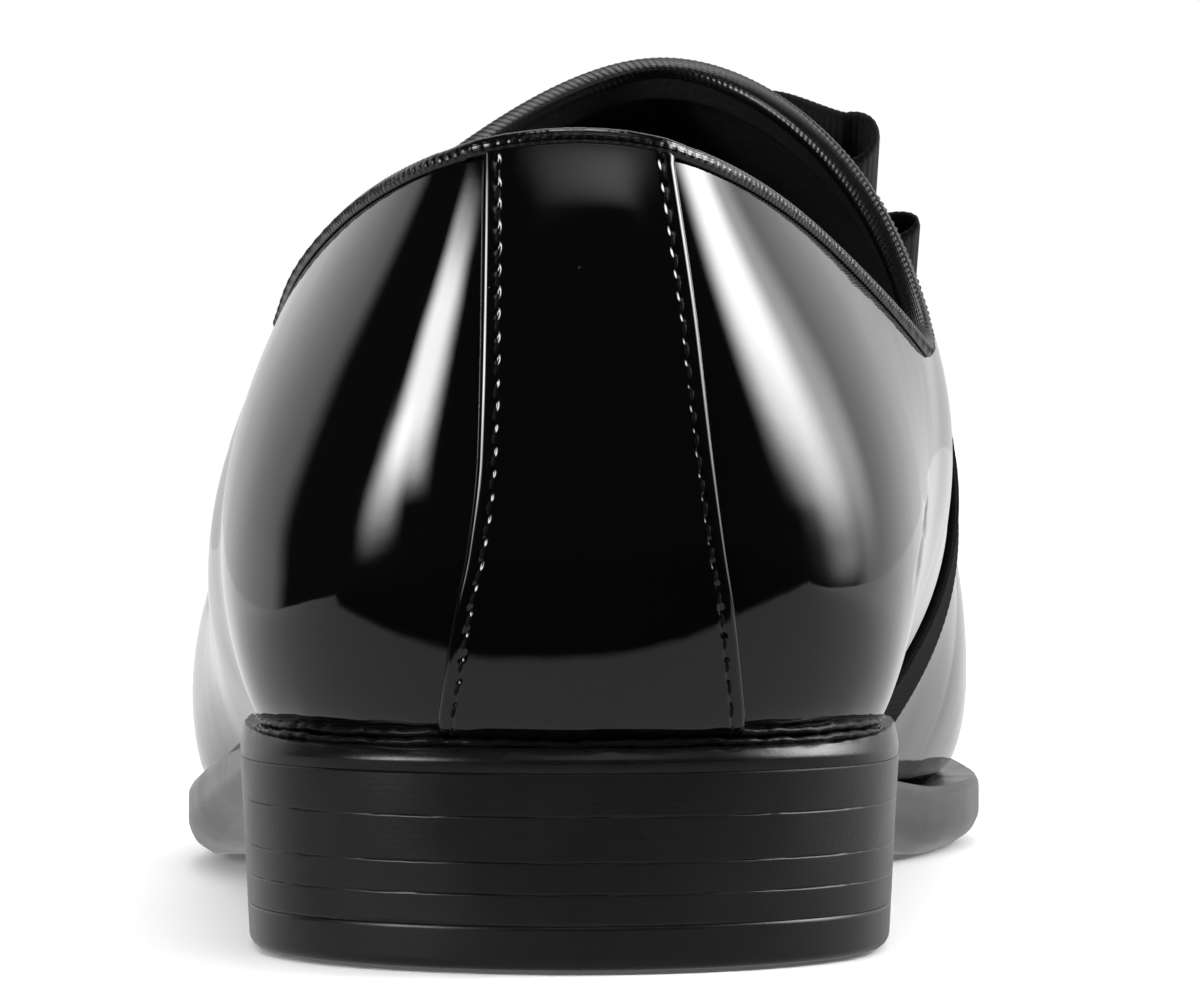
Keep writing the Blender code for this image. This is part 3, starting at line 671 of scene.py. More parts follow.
def piece(name, points, faces, looks, node=None, uv=None, picks=None, marks=None, crease=None):
    """Mesh piece from points in millimetres, which rides on the shoe and may stand for a solid."""
    mesh = bpy.data.meshes.new(name)
    places = (np.asarray(points).reshape(-1, 3) + SEAT) * MM
    mesh.from_pydata(places.tolist(), [], [list(face) for face in faces])
    for look in looks:
        mesh.materials.append(look)
    if picks is not None:
        mesh.polygons.foreach_set("material_index", np.asarray(picks, np.int32))
    if uv is not None:
        spots = np.zeros(len(mesh.loops), np.int32)
        mesh.loops.foreach_get("vertex_index", spots)
        layer = mesh.uv_layers.new(name="Lengths")
        layer.data.foreach_set("uv", np.asarray(uv, np.float32).reshape(-1, 2)[spots].ravel())
    for mark, values in (marks or {}).items():
        layer = mesh.attributes.new(mark, "FLOAT", "POINT")
        layer.data.foreach_set("value", np.asarray(values, np.float32).ravel())
    shape = bmesh.new()
    shape.from_mesh(mesh)
    bmesh.ops.remove_doubles(shape, verts=shape.verts, dist=1e-7)
    bmesh.ops.recalc_face_normals(shape, faces=shape.faces)
    shape.to_mesh(mesh)
    shape.free()
    mesh.shade_smooth()
    if crease is not None:
        mesh.set_sharp_from_angle(angle=math.radians(crease))
    made = linked(name, mesh)
    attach(made, "root")
    if node:
        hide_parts(node)
    return made


def build_upper(patent, lining):
    """Vamp and quarters as one wall: glossy outside, lined inside."""
    near = np.concatenate([np.arange(*stretch) for stretch in UPPER_STEPS])
    places = np.concatenate((near, [float(TOE)], 2 * TOE - near[:0:-1]))
    rises = np.concatenate([np.linspace(*level) for level in UPPER_LEVELS])
    count, rows = len(places), len(rises)
    station = np.minimum(places, 2 * TOE - places)
    place, rise = np.meshgrid(places, rises, indexing="ij")
    outer, normal = skin(place, rise)
    for k in np.flatnonzero(station > THROAT):
        normal[k, -1] = unit(normal[k, -1] + normal[count - k, -1])
    beyond = station >= POLE_RIB
    normal[beyond, -1] = normal[np.argmax(beyond), -1]
    thinned = ramp(rise, RIM_FROM, 1.0) * ramp(station, THROAT + 1.0, THROAT)[:, None]
    thick = WALL - (WALL - RIM_WALL) * thinned
    inner = surface(place, rise) - normal * thick[..., None]
    inner[:, 0, 2] = outer[:, 0, 2]
    size = count * rows
    face = quads(count, rows, wrap_rows=True)
    low = joined(np.arange(0, size, rows), size)
    open_rim = np.maximum(station, np.roll(station, -1)) <= THROAT
    high = (low + rows - 1)[open_rim]
    faces = np.concatenate((face, face[:, ::-1] + size, low, high))
    picks = np.repeat((0, 1, 0, 1), (len(face), len(face), len(low), len(high)))
    return piece("upper_leather", layered(outer, inner), faces, (patent, lining),
                 "upper", picks=picks)


def strip_grid():
    """Grid of the back strip: place and rise, distance from the nearer edge, and length up the strip."""
    rises = np.linspace(0.0, STRIP_TOP, 250)
    finest = np.linspace(-2.4, 2.4, 600)
    edge = np.concatenate((np.linspace(0.0, 3.0, 31), (3.4, 3.8, 4.2, 4.7, 5.2, 5.8)))
    place = []
    inside = []
    for rise in rises:
        line = surface(finest, rise)
        run = run_along(line)
        level = float(surface(0.0, rise)[2])
        start, stop = np.interp([read(STRIP, side, level) for side in STRIP[0][1:]], line[:, 0], run)
        middle = np.linspace(start + edge[-1], stop - edge[-1], 10)[1:-1]
        across = np.concatenate((start + edge, middle, stop - edge[::-1]))
        place.append(np.interp(across, run, finest))
        inside.append(np.minimum(across - start, stop - across))
    rise = np.repeat(rises[:, None], len(place[0]), axis=1)
    return np.array(place), rise, np.array(inside), run_along(surface(0.0, rises))


def build_back_strip(patent, grid):
    """Tapered strip over the back seam, with turned edges and a stitched channel along each."""
    place, rise, inside, length = grid
    length = length[:, None]
    base, normal = skin(place, rise)
    turned = np.sqrt(1.0 - (1.0 - ramp(inside)) ** 2)
    channel = bell(inside - STITCH_IN - 0.06 * ragged(length * 0.5, 1.0), CHANNEL_WIDE)
    beat = np.cos(2.0 * math.pi * length / STITCH_PITCH)
    pulled = soft(0.05 + 1.1 * beat + 0.6 * ragged(length * 1.3, 6.0))
    height = STRIP_THICK * turned - channel * (0.05 + 0.15 * pulled) + 0.03
    crown = soft(rise, 0.55, 0.85) * soft(rise, STRIP_TOP, STRIP_TOP - 0.12)
    fuller = 0.7 + 0.4 * np.clip(place / 0.5, -1.0, 1.0)
    height = height + STRIP_PUFF * fuller * crown * soft(inside, 1.9, 6.9)
    points, faces = shell(base + normal * height[..., None], base - normal * UNDERLAP)
    return piece("back_strip_leather", points, faces, (patent,), "back_strip")


def build_strip_stitches(thread, grid):
    """Rows of short stitches lying in the channels of the back strip."""
    place, rise, inside, length = grid
    half = place.shape[1] // 2
    bow = 1.0 - np.linspace(-1.0, 1.0, STITCH_RINGS) ** 2
    radius = THREAD * np.clip(bow * 3.0, 0.12, 1.0) ** 0.5
    lean = np.linspace(-STITCH_LEAN, STITCH_LEAN, STITCH_RINGS)
    shapes = []
    for columns in (slice(0, half), slice(half, None)):
        line = []
        for near, spots in zip(inside[:, columns], place[:, columns]):
            order = np.argsort(near)
            line.append(np.interp(STITCH_IN, near[order], spots[order]))
        for k in range(int((length[-1] - 1.5) / STITCH_PITCH)):
            along = (k + 0.5) * STITCH_PITCH + STITCH_LONG * np.linspace(-0.5, 0.5, STITCH_RINGS)
            base, normal = skin(np.interp(along, length, line), np.interp(along, length, rise[:, 0]))
            side = np.cross(unit(np.gradient(base, axis=0)), normal)
            centre = base + normal * (STITCH_UP + STITCH_BOW * bow)[:, None] + side * lean[:, None]
            shapes.append(tube(centre, radius, normal, 1.1 * side, 8))
    points, faces = gathered(shapes)
    return piece("strip_stitches", points, faces, (thread,))


def even_path(points, closed):
    """Places along a line at an even number of steps per rib, the run along it, and the ribs' pitch."""
    run = run_along(np.concatenate((points, points[:1])) if closed else points)
    count = int(round(run[-1] / RIB_PITCH))
    steps = np.linspace(0.0, run[-1], count * 6, endpoint=not closed)
    return np.interp(steps, run, np.arange(len(run))), steps, run[-1] / count


def ribs(phase):
    """Height of rounded ribs with narrow valleys."""
    return RIB_HIGH * (np.abs(np.cos(math.pi * phase)) ** 0.7 - 0.6)


def collar_frame():
    """Even steps round the collar edge: turn, run, rib pitch, points, and outward and upward headings."""
    fine = np.linspace(0.0, 2 * THROAT, 3000, endpoint=False)
    index, steps, pitch = even_path(round_curve(RIM, fine), True)
    turn = index * (2 * THROAT) / len(fine)
    place = np.where(turn <= THROAT, turn, 2 * TOE - (2 * THROAT - turn))
    normal = outward(place, np.ones_like(place))
    reach = 90
    window = np.exp(-np.linspace(-2.5, 2.5, 2 * reach + 1) ** 2)
    padded = np.concatenate((normal[-reach:], normal, normal[:reach]))
    normal = unit(points_of(*(np.convolve(part, window / window.sum(), "valid") for part in padded.T)))
    along = round_curve(RIM, turn + 0.01) - round_curve(RIM, turn - 0.01)
    return turn, steps, pitch, round_curve(RIM, turn), normal, unit(np.cross(normal, along))


def binding_section():
    """Section of the binding: row numbers, points, their outward headings, and the run round it."""
    section = np.array(BINDING[1:])
    at = np.concatenate((np.arange(0.0, BIND_FINE, 1.0 / 3.0), np.arange(BIND_FINE, len(section), 0.6)))
    shape = round_curve((section, bends(section)), at)
    ahead = np.roll(shape, -1, axis=0) - np.roll(shape, 1, axis=0)
    return at, shape, -right_of(ahead), run_along(shape)


def build_binding(ribbon, lining):
    """Ribbed ribbon rolled over the whole collar edge, needle holes along its outside, lining within."""
    turn, steps, pitch, edge, normal, over = collar_frame()
    at, shape, face_out, round_run = binding_section()
    along = steps[:, None]
    behind = np.minimum(turn, 2 * THROAT - turn)[:, None]
    plain = ramp(behind, *BIND_PLAIN)
    crinkle = 0.05 * ragged(along * 1.1, 3.0) * np.cos(2.0 * round_run + along * 0.35)
    ribbed = ribs(along / pitch + 0.55 * round_run) * (1.0 - 0.85 * plain) + crinkle * plain
    level = bell(shape[:, 1] - HOLE_UP, 0.36) * (at < BIND_HOLED)
    hole_and_painted_shade = ramp(1.5 * np.cos(math.pi * along / HOLE_PITCH) ** 2 - 0.55) * level * (1.0 - 0.5 * plain)
    lift = ribbed * (at < BIND_RIBBED) - HOLE_DEEP * hole_and_painted_shade
    raised = OVER_STRIP * ramp(behind, *OVER_FADE) * (at < BIND_RAISED)
    out = shape[:, 0] + face_out[:, 0] * lift + raised
    rise = shape[:, 1] + face_out[:, 1] * lift
    points = edge[:, None] + normal[:, None] * out[..., None] + over[:, None] * rise[..., None]
    faces = quads(*out.shape, True, True)
    # The hole mark carries the needle holes' real dent and also their painted shade in the ribbon's colour.
    marks = {"hole_and_painted_shade": hole_and_painted_shade, "plain": np.broadcast_to(plain, out.shape)}
    picks = np.tile((at > BIND_LINED[0]) & (at < BIND_LINED[1]), len(steps))
    return piece("collar_binding", points, faces, (ribbon, lining), "topline_binding",
                 uv=points_of(along, round_run), picks=picks, marks=marks)


def band_grid(across):
    """Skin and its normals under the band, from the inner side over the ridge to the outer side."""
    climb = np.linspace(0.0, 1.0, 160)
    finest = np.linspace(5.0, 12.0, 700)
    place = []
    for side, sign, rises in (("medial", 1.0, climb), ("lateral", -1.0, climb[-2::-1])):
        for rise in rises:
            line = surface(sign * finest, rise)
            edges = [read(BAND, side + end, rise) for end in ("_near", "_far")]
            near, far = np.interp(edges, line[:, 1], finest)
            place.append(sign * (near + (far - near) * across))
    base, normal = skin(np.array(place), np.concatenate((climb, climb[-2::-1]))[:, None])
    top = len(climb) - 1
    normal[top] = 0.5 * (normal[top - 1] + normal[top + 1])
    return base, normal


def build_band(ribbon):
    """Ribbed ribbon band from the sole over the ridge to the other side, with firm edges."""
    across = np.concatenate((BAND_RIM, np.linspace(0.1, 0.9, 13), 1.0 - BAND_RIM[::-1]))
    base, normal = band_grid(across)
    index, steps, pitch = even_path(base[:, len(across) // 2], False)
    low = np.minimum(index.astype(int), len(base) - 2)
    share = (index - low)[:, None, None]
    base, normal = (rows[low] * (1.0 - share) + rows[low + 1] * share for rows in (base, normal))
    normal = unit(normal)
    rim = np.minimum(across, 1.0 - across) * BAND_WIDE
    firm = 0.05 * bell(rim - 0.7, 0.3) - 0.55 * bell(rim, 0.28)
    lift = BAND_SEAT + BAND_THICK + ribs(steps / pitch)[:, None] + firm
    points, faces = shell(base + normal * lift[..., None], base + normal * BAND_UNDER)
    uv = points_of(steps[:, None], across * BAND_WIDE)
    made = piece("vamp_ribbon", points, faces, (ribbon,), "vamp_band", uv=(uv, uv))
    made.visible_glossy = False
    return made


def bow_frame():
    """Seat of the bow on the ridge, with its sideways, forward and outward headings."""
    ahead = ridge(BOW_Y + 4.0) - ridge(BOW_Y - 4.0)
    forward = unit(np.array((0.0, ahead[1], ahead[2])))
    tilt = math.radians(BOW_TILT)
    across = np.array((1.0, 0.0, 0.0))
    sideways = across * math.cos(tilt) + np.cross(across, forward) * math.sin(tilt)
    return ridge(BOW_Y), sideways, forward, np.cross(sideways, forward)


def ribbon_line(raw, reach):
    """Closed ribbon line at even steps: points, outward headings, run along it, and height of its ribs."""
    index, steps, pitch = even_path(raw, True)
    closed = np.concatenate((raw, raw[:1]))
    path = points_of(*(np.interp(index, np.arange(len(closed)), part) for part in closed.T))
    side = right_of(np.roll(path, -reach, axis=0) - np.roll(path, reach, axis=0))
    return path, side, steps, ribs(steps / pitch)[:, None]


def ribbon_half(rim):
    """Half thickness of a bow's ribbon, pressed thinner at its rim."""
    return RIBBON / 2.0 * (1.0 - 0.45 * bell(rim, 0.3))


def build_ring(name, ribbon, node, line, wide, offsets, headings):
    """Closed ribbon of the bow between two offsets from its line, spread over its width."""
    path, side, steps, _ = line
    seat, lifted = bow_frame()[::3]
    along, over = headings
    layers = []
    for offset in offsets:
        flat = path[:, None] + side[:, None] * offset[..., None]
        layers.append(seat + flat[..., :1] * along + wide[..., None] * over + flat[..., 1:] * lifted)
    rows, columns = layers[0].shape[:2]
    size = rows * columns
    face = quads(rows, columns, wrap_rows=True)
    rim = joined(np.arange(0, size, columns), size)
    faces = np.concatenate((face, face[:, ::-1] + size, rim, rim + columns - 1))
    uv = points_of(steps[:, None], wide)
    made = piece(name, layered(*layers), faces, (ribbon,), node, uv=(uv, uv))
    return made


def loop_path(table):
    """Middle line of a pair of loops: along the lower ribbon, round the end, back along the upper."""
    reach, low, high = (column(table, name) for name in table[0])
    steps = np.linspace(reach[0], reach[-1], 90)
    turn = np.radians(np.linspace(-80.0, 80.0, 17))
    under, over = (points_of(steps, read(table, name, steps)) for name in ("low", "high"))
    ends = []
    for side, row in ((1.0, -1), (-1.0, 0)):
        middle = 0.5 * (low[row] + high[row])
        half = 0.5 * (high[row] - low[row])
        away = reach[row] + side * LOOP_END * np.cos(turn)
        ends.append(points_of(away, middle + side * half * np.sin(turn)))
    return np.concatenate((under, ends[0], over[::-1], ends[1]))


def build_loops(name, table, ribbon, node):
    """A pair of ribbed ribbon loops, gathered under the knot and flared at both ends."""
    line = ribbon_line(loop_path(table), 4)
    reach = np.abs(line[0][:, :1])
    depth = BOW_PINCH + (BOW_FLARE - BOW_PINCH) * (reach / reach.max()) ** 2
    across = np.linspace(-1.0, 1.0, 25)
    gather = GATHER * bell(reach, GATHER_REACH) * np.cos(3.5 * math.pi * across)
    thick = ribbon_half((1.0 - np.abs(across)) * depth) + line[3]
    return build_ring(name, ribbon, node, line, depth * across,
                      (gather + thick, gather - thick), bow_frame()[1:3])


def build_knot(ribbon):
    """Ribbed ribbon ring round the middle of both pairs of loops."""
    angle = np.linspace(0.0, 2.0 * math.pi, 400, endpoint=False)
    squared = [np.sign(wave) * np.abs(wave) ** 0.5 for wave in (np.cos(angle), np.sin(angle))]
    half = 0.5 * (KNOT_HIGH - KNOT_LOW) - RIBBON / 2.0
    middle = 0.5 * (KNOT_LOW + KNOT_HIGH)
    line = ribbon_line(points_of(squared[0] * (KNOT_WIDE - RIBBON / 2.0), squared[1] * half + middle), 2)
    across = np.linspace(-1.0, 1.0, 15)[None, :]
    thick = ribbon_half((1.0 - np.abs(across)) * KNOT_HALF)
    outer = thick + line[3] + KNOT_PUFF * (1.0 - across ** 2)
    return build_ring("bow_knot_ribbon", ribbon, "bow_knot", line,
                      KNOT_HALF * across, (outer, -thick), bow_frame()[2:0:-1])


def plan_rows(outline, stations, columns, hollow=0.0):
    """Rows across a plan outline, from its outer to its inner side, heel first."""
    share = np.linspace(0.0, 1.0, columns + 1)[:, None]
    rows = []
    for station, inner, outer in zip(stations, outline(stations), outline(2.0 * TOE - stations)):
        pointed = station in (0.0, float(TOE))
        rows.append(inner[None, :] if pointed else outer + (inner - outer) * share)
    if hollow:
        rows[-1] = rows[-1] - np.array((0.0, hollow)) * 4.0 * share * (1.0 - share)
    return rows


def strip_faces(near, far):
    """Faces between two neighbouring rows, either of which may be a single point."""
    if len(near) == 1:
        return [(near[0], far[i + 1], far[i]) for i in range(len(far) - 1)]
    if len(far) == 1:
        return [(near[i], near[i + 1], far[0]) for i in range(len(near) - 1)]
    return [(near[i], near[i + 1], far[i + 1], far[i]) for i in range(len(near) - 1)]


def plate(levels):
    """Points and faces of a solid between plan rows stacked from top to bottom."""
    points = []
    loops = []
    faces = []
    start = 0
    for number, (rows, height) in enumerate(levels):
        capped = number in (0, len(levels) - 1)
        if not capped:
            rows = [row if len(row) == 1 else row[[0, -1]] for row in rows[:-1]] + rows[-1:]
        grid = []
        for row in rows:
            grid.append(list(range(start, start + len(row))))
            start += len(row)
        flat = np.concatenate(rows)
        points.append(np.column_stack((flat, height(*flat.T))))
        loop = [grid[0][0]] + [row[-1] for row in grid[1:-1]] + grid[-1][::-1]
        loops.append(loop + [row[0] for row in grid[-2:0:-1]])
        if capped:
            for near, far in zip(grid, grid[1:]):
                faces += strip_faces(near, far)
    for upper, lower in zip(loops, loops[1:]):
        faces += zip(upper, upper[1:] + upper[:1], lower[1:] + lower[:1], lower)
    return np.concatenate(points), faces


def seat_trim(along, depth):
    """Share of the rough trimming: full at the top of the heel seat's rim, none below or in front."""
    return ramp(depth, TRIM_DEEP, 0.0) * ramp(along, *SEAT_FADE)


def edge_outline(inset, depth, place):
    """Plan outline of the outsole's side at a depth: rounded in front, slanted at the heel seat."""
    along = rib(place)["foot_y"]
    rounded = np.clip((along - 66.0) / 40.0, 0.04, 1.0) if depth > 0.5 else 0.75
    slanted = SEAT_SLANT * max(1.0 - depth / 0.6, 0.0) ** 1.3 + 0.04 * inset
    heel = soft(along, *SEAT_FADE)
    rough = TRIM_OUT * seat_trim(along, depth) * ragged(place * 14.0, 2.0)
    return lip(place, inset * rounded * (1.0 - heel) + slanted * heel + rough)


def edge_height(depth, x, y):
    """Height of the outsole's side at a depth, with the heel seat's rim."""
    lift = read(SEAT_RIM, "lift", y) * max(1.0 - depth / SEAT_DEEP, 0.0)
    rough = TRIM_UP * seat_trim(y, depth) * ragged(x * 1.7 + y * 0.9, 5.0)
    return sole_top(y) + lift + rough - sole_thick(y) * depth


def build_outsole(rubber):
    """Outsole with a rounded side, arch, toe spring, and a roughly trimmed rim at the heel seat."""
    stations = np.linspace(0.0, TOE, 16 * TOE + 1)
    row = np.arange(len(SOLE_EDGE) - 1.0)
    columns = 18
    levels = [(plan_rows(partial(lip, inset=SOLE_FACE_IN), stations, columns), lambda x, y: sole_top(y))]
    for at in np.linspace(0.0, row[-1], 21):
        inset, depth = (float(steady(row, column(SOLE_EDGE, name), at)) for name in SOLE_EDGE[0])
        rows = plan_rows(partial(edge_outline, inset, depth), stations, columns)
        levels.append((rows, partial(edge_height, depth)))
    points, faces = plate(levels)
    return piece("sole", points, faces, (rubber,), "outsole", crease=50.0)


def heel_level(height, inset, broken=0.0):
    """One level of the heel, tapered towards the floor, with an inset that may come and go round it."""
    taper = HEEL_TAPER * (1.0 - height / HEEL_TOP)
    finest = np.linspace(3.0, 7.0, 400)
    end = float(np.interp(BREAST, lip(finest, 0.0)[:, 1], finest))

    def outline(place):
        strong = 1.0 - broken * ramp(0.5 + 1.4 * ragged(place * 4.0, height))
        return lip(place, taper * (0.2 + 0.8 * np.abs(rib(place)["side"])) + inset * strong)
    rows = plan_rows(outline, np.linspace(0.0, end, 160), 20, BREAST_HOLLOW)
    return rows, lambda x, y: np.full(len(x), height)


def build_heel(stack, tip):
    """Heel block with fine lines round its side, and the top piece under it."""
    levels = []
    for inset, below in ((0.14, 0.06), (0.0, 0.22), (0.0, 0.5)):
        levels.append((heel_level(HEEL_TOP, inset)[0], lambda x, y, below=below: sole_under(y) - below))
    for line in HEEL_LINES:
        for step, share in LINE_SECTION:
            levels.append(heel_level(line + step * LINE_WIDE, share * LINE_DEEP, LINE_BROKEN))
    levels += [heel_level(TOP_PIECE + away, inset) for away, inset in JOINT[::-1]]
    points, faces = plate(levels)
    piece("heel_stack", points, faces, (stack,), "heel_block", crease=40.0)
    levels = [heel_level(TOP_PIECE - away, inset) for away, inset in JOINT]
    levels.append(heel_level(TIP_EDGE, 0.0))
    for turn in np.radians((0.0, 20.0, 40.0, 60.0, 80.0)):
        levels.append(heel_level(TIP_ROUND * (1.0 - math.sin(turn)), TIP_ROUND * (1.0 - math.cos(turn))))
    levels.append(heel_level(0.0, TIP_EDGE))
    points, faces = plate(levels)
    piece("heel_tip", points, faces, (tip,), "heel_top_piece", crease=40.0)


def build_insole(leather):
    """Footbed on the outsole, with a rounded edge."""
    stations = np.linspace(0.0, TOE, 12 * TOE + 1)
    levels = []
    for inset, drop in INSOLE_EDGE:
        rows = plan_rows(partial(feather, out=-(WALL + 2.0 * GAP + inset)), stations, 14)
        levels.append((rows, lambda x, y, drop=drop: sole_top(y) + GAP + INSOLE - drop))
    points, faces = plate(levels)
    return piece("footbed", points, faces, (leather,), "insole")


def build_seat_glue(glue):
    """Two uneven beads of black cement in the crevice between the quarters and the heel seat."""
    places = np.linspace(-CEMENT_END, CEMENT_END, 560)
    swell = np.clip((CEMENT_END - np.abs(places)) / 1.2, 0.05, 1.0) ** 0.5
    tucked = read(TUCK, "deep", rib(places)["foot_y"])
    shapes = []
    for out, follow, up, thick, seed in CEMENT[1:]:
        rough = 0.11 * ragged(places * 5.0, seed) + 0.03 * ragged(places * 19.0, seed + 2.7)
        plan = feather(places, out - follow * tucked + 0.15 * ragged(places * 4.0, seed + 6.4))
        height = sole_top(plan[:, 1]) + up + 0.2 * ragged(places * 5.0, seed + 7.7)
        centre = np.column_stack((plan, height))
        side = unit(np.cross(np.gradient(centre, axis=0), UP))
        shapes.append(tube(centre, (thick + rough) * swell, side, np.broadcast_to(UP, side.shape), 10))
    points, faces = gathered(shapes)
    return piece("seat_cement", points, faces, (glue,))


def new_tree(name):
    """Material and its nodes, with a short cut that adds a node with its values and links."""
    look = bpy.data.materials.new(name)
    look.use_nodes = True
    tree = look.node_tree

    def add(kind, links=(), **values):
        made = tree.nodes.new(kind)
        for key, value in values.items():
            if key in made.inputs:
                made.inputs[key].default_value = value
            else:
                setattr(made, key, value)
        for source, target in links:
            tree.links.new(source, made.inputs[target])
        return made
    return look, tree, add


def new_look(name, colour, roughness, settings):
    """Material with settings of its shader, short cuts to build on it, and the place on the object."""
    look, tree, add = new_tree(name)
    shader = tree.nodes["Principled BSDF"]
    for key, value in {"Base Color": (*colour, 1.0), "Roughness": roughness, **settings}.items():
        shader.inputs[key].default_value = value

    def join(source, target):
        tree.links.new(source, shader.inputs[target])
    return look, add, join, add("ShaderNodeTexCoord").outputs["Object"]


def noise(add, place, **values):
    """Grey noise over places."""
    return add("ShaderNodeTexNoise", [(place, "Vector")], **values).outputs["Fac"]


def maths(add, operation, first, second):
    """One operation on a socket and a number, or on two sockets."""
    made = add("ShaderNodeMath", [(first, 0)], operation=operation)
    if isinstance(second, float):
        made.inputs[1].default_value = second
    else:
        made.id_data.links.new(second, made.inputs[1])
    return made.outputs[0]


def spread(add, source, low, high, start=0.0, stop=1.0, ease="LINEAR"):
    """A value mapped from one range to another."""
    ranges = {"From Min": start, "From Max": stop, "To Min": low, "To Max": high}
    made = add("ShaderNodeMapRange", [(source, "Value")], interpolation_type=ease, **ranges)
    return made.outputs["Result"]


def specks(add, place, scale, size, share):
    """Sparse small dots: 1 on a dot and 0 elsewhere."""
    cells = add("ShaderNodeTexVoronoi", [(place, "Vector")], Scale=scale)
    pick = add("ShaderNodeSeparateColor", [(cells.outputs["Color"], "Color")])
    near = maths(add, "LESS_THAN", cells.outputs["Distance"], size)
    return maths(add, "MULTIPLY", near, maths(add, "LESS_THAN", pick.outputs["Red"], share))


def two_tone(add, share, dark, light):
    """Colour between two tones, of which the dark one may be a socket."""
    made = add("ShaderNodeMix", [(share, "Factor")], data_type="RGBA")
    first, second = (socket for socket in made.inputs if socket.type == "RGBA")
    if isinstance(dark, tuple):
        first.default_value = (*dark, 1.0)
    else:
        made.id_data.links.new(dark, first)
    second.default_value = (*light, 1.0)
    return [socket for socket in made.outputs if socket.type == "RGBA"][0]


def grey(level):
    """Colour with three equal parts."""
    return (level, level, level)


def bumps(add, *layers):
    """Chain of bump nodes from (height, depth in metres) pairs."""
    normal = None
    for height, deep in layers:
        made = add("ShaderNodeBump", [(height, "Height")], Strength=1.0, Distance=deep)
        if normal:
            made.id_data.links.new(normal, made.inputs["Normal"])
        normal = made.outputs["Normal"]
    return normal


def patent_look(name):
    """Black patent leather: wet gloss, a slow waviness, faint peel and a few dust specks."""
    settings = {"Coat Weight": 0.2, "Coat Roughness": 0.03}
    look, add, join, place = new_look(name, PATENT_BLACK, 0.05, settings)
    sag = noise(add, place, Scale=19.0, Detail=0.5)
    slow = noise(add, place, Scale=55.0, Detail=1.5)
    peel = noise(add, place, Scale=700.0, Detail=2.0)
    smear = noise(add, place, Scale=90.0, Detail=4.0, Distortion=1.5)
    dust = specks(add, place, 330.0, 0.035, 0.08)
    join(two_tone(add, dust, PATENT_BLACK, grey(0.035)), "Base Color")
    join(spread(add, smear, 0.025, 0.07, 0.35, 0.75), "Roughness")
    join(bumps(add, (sag, 0.0006), (slow, 0.00024), (peel, 0.000003)), "Normal")
    return look


def ribbon_look(name, colour, roughness, sheen, gloss, grain):
    """Grosgrain: warp threads between the ribs, a dry sheen, and a slightly uneven dye."""
    settings = {"Sheen Weight": sheen, "Sheen Roughness": 0.45, "Specular IOR Level": gloss}
    look, add, join, place = new_look(name, colour, roughness, settings)
    lengths = add("ShaderNodeTexCoord").outputs["UV"]
    stretch = add("ShaderNodeMapping", [(lengths, "Vector")], Scale=(1.2, 3.4, 1.0)).outputs["Vector"]
    thread = noise(add, stretch, Scale=1.0, Detail=3.0)
    twist = add("ShaderNodeTexWave", [(lengths, "Vector")], Scale=1.3, Distortion=1.2, bands_direction="Y")
    dye = spread(add, noise(add, place, Scale=160.0, Detail=3.0), 0.0, 1.0, 0.3, 0.75)
    tone = two_tone(add, dye, colour, tuple(c * 2.1 for c in colour))
    join(tone, "Base Color")
    join(spread(add, thread, roughness - 0.1, min(roughness + 0.12, 1.0)), "Roughness")
    join(bumps(add, (twist.outputs["Fac"], grain), (thread, grain)), "Normal")
    return look, add, join, tone


def binding_look():
    """Ribbed collar ribbon with a satin shine, and its needle holes darkened with painted shade."""
    satin = 0.26
    look, add, join, tone = ribbon_look("collar_grosgrain", COLLAR_BLACK, satin,
                                        sheen=0.0, gloss=0.5, grain=0.00001)
    hole_and_painted_shade, plain = (add("ShaderNodeAttribute", attribute_name=mark).outputs["Fac"]
                   for mark in ("hole_and_painted_shade", "plain"))
    # Painted shade: the needle holes are darkened in the ribbon's base colour.
    join(two_tone(add, hole_and_painted_shade, tone, grey(0.0005)), "Base Color")
    dull = spread(add, hole_and_painted_shade, satin, 0.9)
    join(maths(add, "SUBTRACT", dull, spread(add, plain, 0.0, 0.17)), "Roughness")
    return look


def rubber_look(name, low, high, lines):
    """Satin black rubber: cutting marks along the edge, a fine grain and pale scuff specks."""
    look, add, join, place = new_look(name, RUBBER_BLACK, low, {"Specular IOR Level": 0.3})
    stretch = add("ShaderNodeMapping", [(place, "Vector")], Scale=(55.0, 55.0, 2600.0)).outputs["Vector"]
    marks = noise(add, stretch, Scale=1.0, Detail=4.0)
    grain = noise(add, place, Scale=2400.0, Detail=2.0)
    patch = noise(add, place, Scale=70.0, Detail=3.0)
    scuff = specks(add, place, 420.0, 0.10, 0.07)
    worn = maths(add, "MAXIMUM", spread(add, patch, 0.0, 1.0, 0.3, 0.8), scuff)
    join(two_tone(add, worn, RUBBER_BLACK, tuple(c * 2.0 + 0.002 for c in RUBBER_BLACK)), "Base Color")
    join(spread(add, patch, low, high, 0.3, 0.7), "Roughness")
    join(bumps(add, (marks, lines), (grain, 0.00002)), "Normal")
    return look


def leather_look(name, colour, roughness, scale):
    """Plain matte leather with a pebbled grain."""
    look, add, join, place = new_look(name, colour, roughness, {"Specular IOR Level": 0.2})
    pebble = add("ShaderNodeTexVoronoi", [(place, "Vector")], Scale=scale, feature="SMOOTH_F1")
    patch = noise(add, place, Scale=60.0, Detail=4.0)
    join(two_tone(add, patch, colour, tuple(c * 1.8 for c in colour)), "Base Color")
    join(spread(add, patch, roughness - 0.08, roughness + 0.1), "Roughness")
    join(bumps(add, (pebble.outputs["Distance"], 0.00012)), "Normal")
    return look


